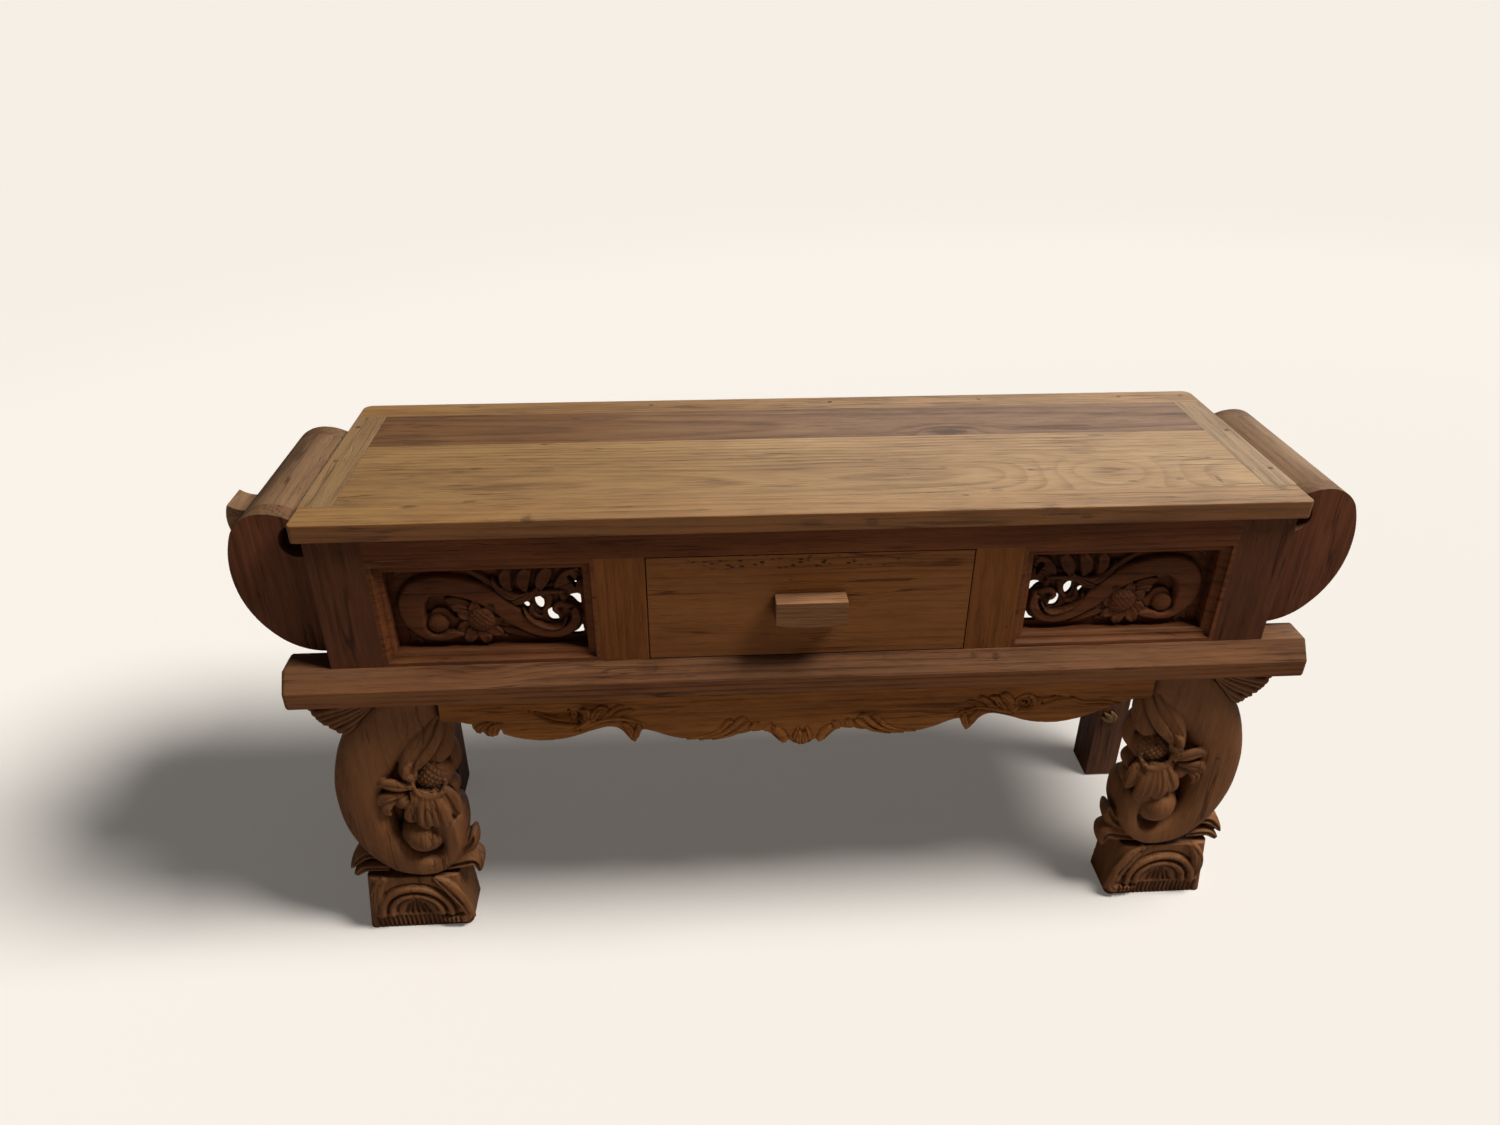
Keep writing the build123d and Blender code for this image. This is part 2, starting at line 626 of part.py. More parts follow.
def bracket_outline():
    lobes = [(1.06, 1.0), (1.02, 0.89), (0.92, 0.85), (0.76, 0.81)]
    bulges = [(1.075, 0.94), (0.975, 0.852), (0.86, 0.808)]
    arcs = [ThreePointArc(leg_point(*start), leg_point(*bulge), leg_point(*end))
            for start, bulge, end in zip(lobes, bulges, lobes[1:])]
    inner = Line(leg_point(0.76, 0.81), leg_point(0.42, 1.0))
    return arcs + [inner, Line(leg_point(0.42, 1.0), leg_point(1.06, 1.0))]


# The wood taken off the inner side of a leg, behind the flower, above the foot.
def inner_bevel_waste():
    bevel_front = case_front + 0.3 * leg_depth
    plan = Polyline((leg_inner_x - 30, bevel_front), (leg_inner_x - 6, bevel_front),
                    (leg_inner_x + inner_bevel - 6, leg_back), (leg_inner_x - 30, leg_back),
                    (leg_inner_x - 30, bevel_front))
    return extrude(Plane.XY.offset(foot_height) * make_face(plan), amount=0.86 * scroll_height)


def make_legs():
    scroll = leg_scroll()
    leg = scroll + flower_spray() - inner_bevel_waste() + leg_foot() + front_leg_tenon
    both_sides("front_leg", leg, base_offset)

    bracket = from_front(bracket_outline(), case_front + bracket_setback, bracket_depth) - scroll
    both_sides("bracket", bracket, base_offset)

    rear = block(rear_leg_inner_x, rear_leg_inner_x + rear_leg_width, case_back - rear_leg_depth, case_back,
                 0, leg_height)
    rear = chamfer(rear.faces().sort_by(Axis.Z)[0].edges(), rear_foot_chamfer)
    both_sides("rear_leg", rear + rear_leg_tenon, base_offset)


# ---------------------------------------------------------------- wings
# A place on a wing's outline: share of its reach from the case side, share of its height.
def wing_point(out, up):
    return (case_half + out * wing_reach, wing_bottom + up * wing_height)


# It is a chain of arcs, each one tangent to the last, from the bottom round to the throat. The arcs of
# the smaller outline have the same centres.
def wing_outline(inset=0):
    shares = ((0.097, 0.0), (0.629, 0.11), (0.98, 0.436), (0.91, 0.855), (0.502, 0.998), (0.114, 0.925))
    heading = Vector(1, 0, 0)
    places = []
    for start, end in zip(shares, shares[1:] + (None,)):
        point = Vector(*wing_point(*start))
        outward = heading.rotate(Axis.Z, -90)
        places.append((point - outward * inset, heading))
        if end:
            heading = TangentArc(wing_point(*start), wing_point(*end), tangent=heading) % 1
    curve = [TangentArc(start, end, tangent=heading)
             for (start, heading), (end, _) in zip(places, places[1:])]
    bottom = (case_half, wing_bottom + inset)
    side = (case_half, places[-1][0].Y)
    return curve + [Line(places[0][0], bottom), Line(bottom, side), Line(side, places[-1][0])]


# The round throat under the curl, where an end board meets the case.
def throat_waste():
    arc = ThreePointArc(wing_point(0, 0.744), wing_point(0.375, 0.806), wing_point(0.114, 0.912))
    back = Line(wing_point(0.114, 0.912), wing_point(0.114, 0.93))
    top = Polyline(wing_point(0.114, 0.93), wing_point(-0.05, 0.93), wing_point(-0.05, 0.744),
                   wing_point(0, 0.744))
    return from_front([arc, back, top], wing_front - 1, wing_board_thickness + 2)


def wing_sector(start_angle, end_angle):
    centre_x, centre_z = wing_point(0.5, 0.5)
    far = 2 * wing_height
    corners = [(centre_x, centre_z)]
    for angle in (start_angle, (start_angle + end_angle) / 2, end_angle):
        turn = math.radians(angle)
        corners.append((centre_x + far * math.cos(turn), centre_z + far * math.sin(turn)))
    return Polyline(*corners, corners[0])


def make_wings():
    slat_front = wing_front + wing_board_thickness
    slat_length = wing_depth - 2 * wing_board_thickness
    front_board = from_front(wing_outline(), wing_front, wing_board_thickness) - throat_waste()
    both_sides("wing_front_board", front_board)
    both_sides("wing_rear_board", Pos(0, wing_depth - wing_board_thickness, 0) * front_board)

    shell = from_front(wing_outline(), slat_front, slat_length)
    shell = shell - from_front(wing_outline(wing_slat_thickness), slat_front, slat_length)
    shell = shell - block(case_half, case_half + wing_slat_thickness, slat_front, slat_front + slat_length,
                          wing_bottom + wing_slat_thickness, table_height)
    seams = (150.0, top_slat_end_angle, shoulder_slat_end_angle) + side_slat_end_angles + (-150.0,)
    slats = [shell & from_front(wing_sector(start, end), slat_front, slat_length)
             for start, end in zip(seams, seams[1:])]
    both_sides("wing_top_slat", slats[0])
    both_sides("wing_shoulder_slat", slats[1])
    pieces["right_wing_lower_slats"] = Compound(children=slats[2:])
    pieces["left_wing_lower_slats"] = Compound(children=[other_side(slat) for slat in slats[2:]])

    # The curled spur stands on the left wing only.
    spur = [
        ThreePointArc(wing_point(0.66, 0.94), wing_point(0.86, 0.918), wing_point(1.034, 0.956)),
        ThreePointArc(wing_point(1.034, 0.956), wing_point(1.075, 0.88), wing_point(1.064, 0.776)),
        Line(wing_point(1.064, 0.776), wing_point(0.8, 0.72)),
        Line(wing_point(0.8, 0.72), wing_point(0.66, 0.94)),
    ]
    spur_front = slat_front + spur_setback
    wing_solid = from_front(wing_outline(), spur_front, spur_depth)
    pieces["left_wing_spur"] = other_side(from_front(spur, spur_front, spur_depth) - wing_solid)


# ---------------------------------------------------------------- drawer and what it runs on
def make_drawer():
    bottom_z = drawer_floor + drawer_bottom_rise
    groove_half = drawer_half - drawer_side_thickness + drawer_bottom_groove
    bottom = block(-groove_half, groove_half, drawer_box_front - drawer_bottom_groove, drawer_box_back,
                   bottom_z, bottom_z + drawer_bottom_thickness)
    side = block(drawer_half - drawer_side_thickness, drawer_half, drawer_box_front - drawer_rebate,
                 drawer_box_back, drawer_floor, drawer_floor + drawer_side_height)
    tenon = block(-handle_tenon_width / 2, handle_tenon_width / 2, case_front, drawer_box_front,
                  drawer_centre_z - handle_tenon_height / 2, drawer_centre_z + handle_tenon_height / 2)
    front = block(-drawer_half, drawer_half, case_front, drawer_box_front, beam_top + drawer_gap,
                  rail_bottom - drawer_gap)
    pieces["drawer_front"] = front - side - other_side(side) - bottom - tenon
    pieces["drawer_bottom"] = bottom
    both_sides("drawer_side", side - bottom)
    pieces["drawer_back"] = block(-drawer_half + drawer_side_thickness, drawer_half - drawer_side_thickness,
                                  drawer_box_back - drawer_side_thickness, drawer_box_back,
                                  bottom_z + drawer_bottom_thickness, drawer_floor + drawer_side_height)

    low = drawer_centre_z - handle_height / 2
    high = drawer_centre_z + handle_height / 2
    half = handle_width / 2
    outline = [
        ThreePointArc((-half, low + handle_bow), (0, low), (half, low + handle_bow)),
        Line((half, low + handle_bow), (half, high)),
        Line((half, high), (-half, high)),
        Line((-half, high), (-half, low + handle_bow)),
    ]
    pieces["drawer_handle"] = from_front(outline, case_front - handle_depth, handle_depth) + tenon


def make_runners():
    guide_inner = drawer_half + slide_gap
    guide_outer = guide_inner + guide_width
    runner = block(guide_outer - runner_width, guide_outer, beam_back, rear_beam_front,
                   beam_top - runner_height, beam_top)
    both_sides("drawer_runner", runner)
    guide = block(guide_inner, guide_outer, case_front + stile_depth, rear_beam_front,
                  beam_top, beam_top + guide_height)
    both_sides("drawer_guide", guide)
    kicker_bottom = drawer_floor + drawer_side_height + slide_gap
    pieces["drawer_kicker"] = block(-kicker_width / 2, kicker_width / 2, case_front + rail_thickness,
                                    case_back - rail_thickness, kicker_bottom, case_top)
    stop = block(drawer_half - runner_width / 2, drawer_half, drawer_box_back + slide_gap,
                 drawer_box_back + slide_gap + stop_length, beam_top, beam_top + stop_height)
    pieces["drawer_stops"] = Compound(children=[other_side(stop), stop])


# ---------------------------------------------------------------- build
make_top()
make_case()
make_moulding()
both_sides("carved_panel", carved_panel())
make_beams()
make_apron()
make_legs()
make_wings()
make_drawer()
make_runners()

os.makedirs("parts", exist_ok=True)
for name, shape in pieces.items():
    export_step(shape, f"parts/{name}.step")
print(len(pieces), "nodes, table height", table_height)
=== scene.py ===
import bpy
import bmesh
import math
import numpy as np
from mathutils import Euler, Matrix, Vector


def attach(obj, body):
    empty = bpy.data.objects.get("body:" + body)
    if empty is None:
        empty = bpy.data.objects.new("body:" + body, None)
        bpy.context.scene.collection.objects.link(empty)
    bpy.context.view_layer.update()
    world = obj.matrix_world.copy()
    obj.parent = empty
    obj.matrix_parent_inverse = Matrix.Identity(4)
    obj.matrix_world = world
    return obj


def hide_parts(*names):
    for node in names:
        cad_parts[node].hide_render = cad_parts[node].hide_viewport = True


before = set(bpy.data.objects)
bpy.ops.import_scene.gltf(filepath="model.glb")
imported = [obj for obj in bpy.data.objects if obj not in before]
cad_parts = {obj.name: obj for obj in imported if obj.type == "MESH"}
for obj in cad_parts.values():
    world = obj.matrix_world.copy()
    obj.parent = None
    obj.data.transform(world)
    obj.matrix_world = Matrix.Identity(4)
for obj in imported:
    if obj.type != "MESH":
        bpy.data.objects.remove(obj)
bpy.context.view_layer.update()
scene = bpy.context.scene
scene.view_settings.view_transform = "Standard"


# a number, vector or colour on its way through a shader, so that sums read as sums
class Flow:
    def __init__(self, socket):
        self.socket = socket
        self.tree = socket.id_data

    def worked(self, operation, *others):
        values = dict(enumerate((self, *others)))
        return Flow(put(self.tree, "ShaderNodeMath", values, operation=operation).outputs[0])

    def vector(self, operation, other=(0, 0, 0)):
        values = {0: self, "Scale" if operation == "SCALE" else 1: other}
        made = put(self.tree, "ShaderNodeVectorMath", values, operation=operation)
        return Flow(made.outputs["Value" if operation in ("LENGTH", "DOT_PRODUCT") else "Vector"])

    def __add__(self, other):
        return self.worked("ADD", other)

    def __sub__(self, other):
        return self.worked("SUBTRACT", other)

    def __rsub__(self, other):
        return Flow(put(self.tree, "ShaderNodeMath", {0: other, 1: self}, operation="SUBTRACT").outputs[0])

    def __mul__(self, other):
        return self.worked("MULTIPLY", other)

    def __truediv__(self, other):
        return self.worked("DIVIDE", other)


def put(tree, kind, values=None, **fields):
    made = tree.nodes.new(kind)
    for field, value in fields.items():
        setattr(made, field, value)
    for key, value in (values or {}).items():
        if isinstance(value, Flow):
            tree.links.new(value.socket, made.inputs[key])
        else:
            made.inputs[key].default_value = value
    return made


def out(tree, kind, name, values=None, **fields):
    return Flow(put(tree, kind, values, **fields).outputs[name])


def limits(value, low, high, newLow=0.0, newHigh=1.0, smooth=True):
    return out(value.tree, "ShaderNodeMapRange", "Result",
               {"Value": value, "From Min": low, "From Max": high, "To Min": newLow, "To Max": newHigh},
               interpolation_type="SMOOTHSTEP" if smooth else "LINEAR")


def blended(share, first, second, mode="MIX"):
    values = {0: share, 6: first, 7: second}
    return out(share.tree, "ShaderNodeMix", 2, values, data_type="RGBA", blend_type=mode)


def stretched(vector, along, across):
    return vector.vector("MULTIPLY", (along, across, across))


def cloud(vector, along, across, detail=2.0, rough=0.5, give="Fac"):
    values = {"Vector": stretched(vector, along, across), "Scale": 1.0, "Detail": detail, "Roughness": rough}
    return out(vector.tree, "ShaderNodeTexNoise", give, values)


# the camera and the studio
camera = {"place": (-0.1689, -1.4446, 1.4423), "yaw": 0.0658, "pitch": 0.5302, "roll": 0.0063, "lens": 25.07}
studio = {
    "paper": (0.747, 0.71, 0.662),
    "throwback": (0.42, 0.385, 0.35, 1),
    "floorRadius": 60.0,
    "lamp": {"place": (1.7, -0.62, 3.5), "radius": 0.7, "power": 48.0, "colour": (1.0, 0.985, 0.965)},
    # fade is where the paper turns to pure glow; lift is its glowing share near the table, painted light that
    # lightens the cast shadow
    "fade": (5.3, 7.5), "lift": 0.11,
    "sheen": {"from": (0.95, 1.2, 0.55), "power": 2.2, "softness": 70, "colour": (1.0, 0.94, 0.84)},
    "sky": (0.97, 0.95, 0.93, 1),
    "skyStrength": 0.055,
    "seen": (0.92, 0.86, 0.78, 1),
}


def makeCamera(settings):
    yaw, pitch, roll = settings["yaw"], settings["pitch"], settings["roll"]
    ahead = Vector((math.sin(yaw) * math.cos(pitch), math.cos(yaw) * math.cos(pitch), -math.sin(pitch)))
    level = Vector((math.cos(yaw), -math.sin(yaw), 0))
    upright = level.cross(ahead)
    right = math.cos(roll) * level + math.sin(roll) * upright
    up = math.cos(roll) * upright - math.sin(roll) * level
    turn = Matrix((right, up, -ahead)).transposed().to_4x4()
    data = bpy.data.cameras.new("camera")
    data.sensor_width = 36
    data.lens = settings["lens"]
    made = bpy.data.objects.new("camera", data)
    scene.collection.objects.link(made)
    made.matrix_world = Matrix.Translation(settings["place"]) @ turn
    scene.camera = made


def addLight(name, kind, settings):
    data = bpy.data.lights.new(name, kind)
    data.energy = settings["power"]
    data.color = settings["colour"]
    made = bpy.data.objects.new(name, data)
    scene.collection.objects.link(made)
    return made


# a faint glow from behind that only shows as sheen on the wood
def makeSheen(settings):
    made = addLight("sheen", "SUN", settings)
    made.data.angle = math.radians(settings["softness"])
    made.rotation_euler = Vector(settings["from"]).to_track_quat("Z", "Y").to_euler()
    made.visible_diffuse = False


# a round lamp near enough to throw a shadow that spreads, with light that doesn't fall off
def makeLamp(settings):
    made = addLight("lamp", "POINT", settings)
    made.location = settings["place"]
    made.data.shadow_soft_size = settings["radius"]
    made.data.use_nodes = True
    tree = made.data.node_tree
    even = put(tree, "ShaderNodeLightFalloff", {"Strength": 1.0})
    tree.links.new(even.outputs["Constant"], tree.nodes["Emission"].inputs["Strength"])


def cameraSees(tree, others, seen):
    ray = out(tree, "ShaderNodeLightPath", "Is Camera Ray")
    return put(tree, "ShaderNodeMixShader", {0: ray, 1: others, 2: seen}).outputs[0]


# paper that looks evenly lit round the shadow, and throws little light back on the wood
def makePaper(settings):
    paper = bpy.data.materials.new("palePaper")
    paper.use_nodes = True
    tree = paper.node_tree
    tree.nodes.remove(tree.nodes["Principled BSDF"])
    lamp = settings["lamp"]["place"]
    away = out(tree, "ShaderNodeNewGeometry", "Position").vector("SUBTRACT", lamp).vector("LENGTH")
    evened = {0: settings["paper"], "Scale": away / lamp[2]}
    colour = out(tree, "ShaderNodeVectorMath", 0, evened, operation="SCALE")
    lit = out(tree, "ShaderNodeBsdfDiffuse", 0, {"Color": colour})
    glow = out(tree, "ShaderNodeEmission", 0, {"Color": settings["seen"]})
    # near the table a share of the paper glows in its seen colour, painted light that lightens the cast
    # shadow; beyond the fade it all glows evenly
    share = limits(away, *settings["fade"], settings["lift"])
    shown = out(tree, "ShaderNodeMixShader", 0, {0: share, 1: lit, 2: glow})
    dim = out(tree, "ShaderNodeBsdfDiffuse", 0, {"Color": settings["throwback"]})
    tree.links.new(cameraSees(tree, dim, shown), tree.nodes["Material Output"].inputs["Surface"])
    return paper


def makeFloor(settings):
    mesh = bpy.data.meshes.new("floor")
    sheet = bmesh.new()
    bmesh.ops.create_circle(sheet, cap_ends=True, segments=96, radius=settings["floorRadius"])
    sheet.to_mesh(mesh)
    sheet.free()
    floor = bpy.data.objects.new("floor", mesh)
    mesh.materials.append(makePaper(settings))
    scene.collection.objects.link(floor)


def makeSky(settings):
    world = bpy.data.worlds.new("studio")
    scene.world = world
    world.use_nodes = True
    tree = world.node_tree
    sky = tree.nodes["Background"]
    sky.inputs["Color"].default_value = settings["sky"]
    sky.inputs["Strength"].default_value = settings["skyStrength"]
    seen = out(tree, "ShaderNodeBackground", 0, {"Color": settings["seen"], "Strength": 1.0})
    tree.links.new(cameraSees(tree, Flow(sky.outputs[0]), seen), tree.nodes["World Output"].inputs["Surface"])


makeCamera(camera)
makeFloor(studio)
makeLamp(studio["lamp"])
makeSheen(studio["sheen"])
makeSky(studio)
print("camera and studio are set")


# effects that the woods share
# takes holds each input's first value, or only its kind where every user links or sets it
def newGroup(name, takes):
    tree = bpy.data.node_groups.new(name, "ShaderNodeTree")
    for label, value in takes.items():
        kind = {float: "Float", tuple: "Vector"}.get(type(value), value)
        socket = tree.interface.new_socket(label, in_out="INPUT", socket_type=f"NodeSocket{kind}")
        if kind != value:
            socket.default_value = value
    given = tree.nodes.new("NodeGroupInput").outputs
    return tree, {label: Flow(given[label]) for label in takes}


def finishGroup(tree, gives):
    kinds = {"VALUE": "Float", "VECTOR": "Vector", "RGBA": "Color"}
    for label, flow in gives.items():
        kind = kinds[flow.socket.type]
        tree.interface.new_socket(label, in_out="OUTPUT", socket_type=f"NodeSocket{kind}")
    put(tree, "NodeGroupOutput", gives)
    return tree


# growth rings, fibres and pores, with the grain along the vector's X
def makeFigure():
    tree, given = newGroup("teakFigure", {
        "Vector": "Vector", "Ring Spacing": 0.012, "Waviness": 0.02, "Ring Contrast": 0.3, "Streaks": 0.3,
        "Patches": 0.3, "Lines": 0.3, "Light": "Color", "Middle": "Color", "Dark": "Color", "Knot": (9, 9, 9),
        "Knot Size": 0.03, "Knot Dark": 0.45})
    vector = given["Vector"]
    drift = cloud(vector, 1.3, 5.0, 2.5, give="Color").vector("SUBTRACT", (0.5, 0.5, 0.5))
    drift = drift.vector("SCALE", given["Waviness"])
    reach = stretched(vector, 0.035, 1.0).vector("ADD", drift).vector("LENGTH")
    fromKnot = stretched(vector.vector("SUBTRACT", given["Knot"]), 0.45, 1.0).vector("LENGTH")
    fromKnot = fromKnot / given["Knot Size"]
    swell = (fromKnot * fromKnot * -1.0).worked("EXPONENT")
    turns = (reach + swell * (given["Knot Size"] * 0.9)) / given["Ring Spacing"]
    ramp = put(tree, "ShaderNodeValToRGB", {0: turns.worked("FRACT")})
    stops = ramp.color_ramp.elements
    stops[0].position, stops[0].color = 0.0, (0.25, 0.25, 0.25, 1)
    stops[1].position, stops[1].color = 1.0, (0.30, 0.30, 0.30, 1)
    for position, value in ((0.12, 0.1), (0.5, 0.3), (0.9, 1.0)):
        stops.new(position).color = (value, value, value, 1)
    ring = Flow(ramp.outputs[0]) * limits(cloud(vector, 1.7, 9.0), 0.3, 0.7, 0.25, 1.0)
    coarse = limits(cloud(vector, 5.0, 120.0, 5.0, 0.7), 0.3, 0.7, smooth=False)
    fine = limits(cloud(vector, 16.0, 620.0, 2.0, 0.6), 0.3, 0.7, smooth=False)
    fibre = coarse * 0.6 + fine * 0.4
    patch = cloud(vector, 1.6, 6.0, 3.0) * 0.55 + cloud(vector, 7.0, 34.0, 5.0, 0.65) * 0.45
    line = limits((cloud(vector, 1.9, 42.0, 3.0) - 0.5).worked("ABSOLUTE"), 0.022, 0.0)
    line = line * limits(cloud(vector, 5.0, 16.0), 0.48, 0.62)
    pores = limits(cloud(vector, 28.0, 900.0, 1.0), 0.6, 0.72)
    tone = 0.56 - ring * given["Ring Contrast"]
    tone = tone + (fibre - 0.5) * given["Streaks"] + (patch - 0.5) * (given["Patches"] * 2.0)
    tone = tone - pores * 0.16 - line * given["Lines"] - limits(swell, 0.55, 1.0) * given["Knot Dark"]
    low = blended(limits(tone, 0.0, 0.5, smooth=False), given["Dark"], given["Middle"])
    colour = blended(limits(tone, 0.5, 1.0, smooth=False), low, given["Light"])
    height = fibre * 0.6 - pores * 0.6 - ring * 0.35
    return finishGroup(tree, {"Color": colour, "Height": height, "Tone": tone})


# rubbed arrises: a mask along the edges, painted lighter as real wear and as a painted highlight, and a
# normal that rounds them
def makeWornHighlitEdges():
    tree, given = newGroup("wornAndHighlitEdges", {"Width": 0.002, "Amount": 0.5, "Vector": "Vector"})
    rounded = out(tree, "ShaderNodeBevel", 0, {"Radius": given["Width"]}, samples=4)
    facing = rounded.vector("DOT_PRODUCT", out(tree, "ShaderNodeNewGeometry", "Normal"))
    broken = limits(cloud(given["Vector"], 30.0, 60.0, 3.0), 0.38, 0.62, 0.25, 1.0)
    wearAndHighlight = limits(facing, 0.995, 0.86) * broken * given["Amount"]
    return finishGroup(tree, {"WearAndHighlight": wearAndHighlight, "Normal": rounded})


# painted shade: darkening in corners, grooves and hollows, found by ambient occlusion, where shade falls
def makePaintedShade():
    tree, given = newGroup("paintedCornerShade", {"Distance": 0.012, "Amount": 0.6})
    corner = out(tree, "ShaderNodeAmbientOcclusion", "AO", {"Distance": given["Distance"]}, samples=6)
    return finishGroup(tree, {"PaintedShade": limits(corner, 0.9, 0.35) * given["Amount"]})


# painted light: wood that faces up is painted lighter and paler, as where light falls on it from above
def makeTopLight():
    tree, given = newGroup("paintedTopLight", {"Vector": "Vector", "Amount": 0.3})
    upward = out(tree, "ShaderNodeSeparateXYZ", "Z", {0: out(tree, "ShaderNodeNewGeometry", "Normal")})
    uneven = limits(cloud(given["Vector"], 6.0, 24.0, 4.0), 0.3, 0.7, 0.45, 1.0)
    return finishGroup(tree, {"TopLight": limits(upward, 0.15, 0.85) * uneven * given["Amount"]})


# round spots in cells; reach limits their size and share picks some of them at random
def cells(vector, along, scale, reach, share):
    values = {"Vector": stretched(vector, along, 1.0), "Scale": scale, "Randomness": 1.0}
    made = put(vector.tree, "ShaderNodeTexVoronoi", values)
    picked = out(vector.tree, "ShaderNodeSeparateColor", 0, {0: Flow(made.outputs["Color"])})
    return limits(Flow(made.outputs["Distance"]), *reach) * limits(picked, *share)


# dark specks of old worm holes and short open cracks along the grain
def makeAge():
    tree, given = newGroup("oldAge", {"Vector": "Vector", "Specks": 0.4, "Cracks": 0.4})
    vector = given["Vector"]
    speck = cells(vector, 0.5, 70.0, (0.13, 0.08), (0.86, 0.9))
    speck = speck * limits(cloud(vector, 5.0, 8.0, 1.0), 0.5, 0.6) * given["Specks"]
    vein = limits((cloud(vector, 3.0, 55.0) - 0.5).worked("ABSOLUTE"), 0.012, 0.002)
    crack = vein * limits(cloud(vector, 4.0, 14.0, 1.0), 0.56, 0.66) * given["Cracks"]
    return finishGroup(tree, {"Mask": speck.worked("MAXIMUM", crack)})


# one dark spot, crack or knot, ragged at its rim
def makeMark():
    tree, given = newGroup("darkMark", {"Vector": "Vector", "Spot": (9, 9, 9), "Reach": (0.01, 0.01, 0.01)})
    vector = given["Vector"]
    ragged = cloud(vector, 90.0, 90.0, 3.0, give="Color").vector("SUBTRACT", (0.5, 0.5, 0.5))
    away = vector.vector("SUBTRACT", given["Spot"]).vector("DIVIDE", given["Reach"]).vector("ADD", ragged)
    return finishGroup(tree, {"Mask": limits(away.vector("LENGTH"), 1.0, 0.35)})


# a band of small worm tracks
def makeTrail():
    tree, given = newGroup("wormTrail", {"Vector": "Vector", "Band": 1.0})
    track = cells(given["Vector"], 0.45, 210.0, (0.42, 0.26), (0.3, 0.4))
    parts = limits(cloud(given["Vector"], 22.0, 40.0), 0.38, 0.48)
    return finishGroup(tree, {"Mask": track * parts * given["Band"]})


groups = {"figure": makeFigure(), "edges": makeWornHighlitEdges(), "cornerShade": makePaintedShade(), "age": makeAge(),
          "topLight": makeTopLight(), "mark": makeMark(), "trail": makeTrail()}
print("shared effects are built")

grainTurn = {"x": (0, 0, 0), "y": (0, 0, math.pi / 2), "z": (0, math.pi / 2, 0)}
# tones are the light, middle and dark colour of the wood; heart shifts the axis of its growth rings
# the dark stain colour serves real flaws and also the painted shade in hollows; edges get a lighter colour
# for wear and a painted highlight; upward faces get a paler tint that is painted light
plainLook = {
    "grain": "x", "heart": (0.0, 0.0, 0.0), "ring": 0.012, "wave": 0.03, "rings": 0.3, "streaks": 0.5,
    "patches": 1.1, "lines": 0.6, "knot": (9, 9, 9), "knotSize": 0.03, "knotDark": 0.45,
    "stainAndShade": (0.025, 0.012, 0.006), "rubbedAndHighlit": (0.22, 0.12, 0.055), "edge": 0.0018, "wearAndHighlight": 0.4,
    "cornerShadeReach": 0.012, "cornerShade": 0.6, "specks": 0.4, "cracks": 0.5, "rough": 0.62, "relief": 0.0006,
    "topLightTint": (1.5, 1.7, 1.9), "topLight": 0.6, "gloss": 0.15, "marks": (),
}


def effect(tree, kind, values):
    made = put(tree, "ShaderNodeGroup", values, node_tree=groups[kind])
    return {socket.name: Flow(socket) for socket in made.outputs}


# dark marks, worm tracks and age in one mask
def makeFlaws(tree, look, place, turned):
    age = {"Vector": turned, "Specks": look["specks"], "Cracks": look["cracks"]}
    flaws = effect(tree, "age", age)["Mask"]
    for spot, reach, dark in look["marks"]:
        mark = effect(tree, "mark", {"Vector": place, "Spot": spot, "Reach": reach})["Mask"]
        flaws = flaws.worked("MAXIMUM", mark * dark)
    if "trail" in look:
        spot, reach = look["trail"]
        band = effect(tree, "mark", {"Vector": place, "Spot": spot, "Reach": reach})["Mask"]
        flaws = flaws.worked("MAXIMUM", effect(tree, "trail", {"Vector": place, "Band": band})["Mask"])
    return flaws


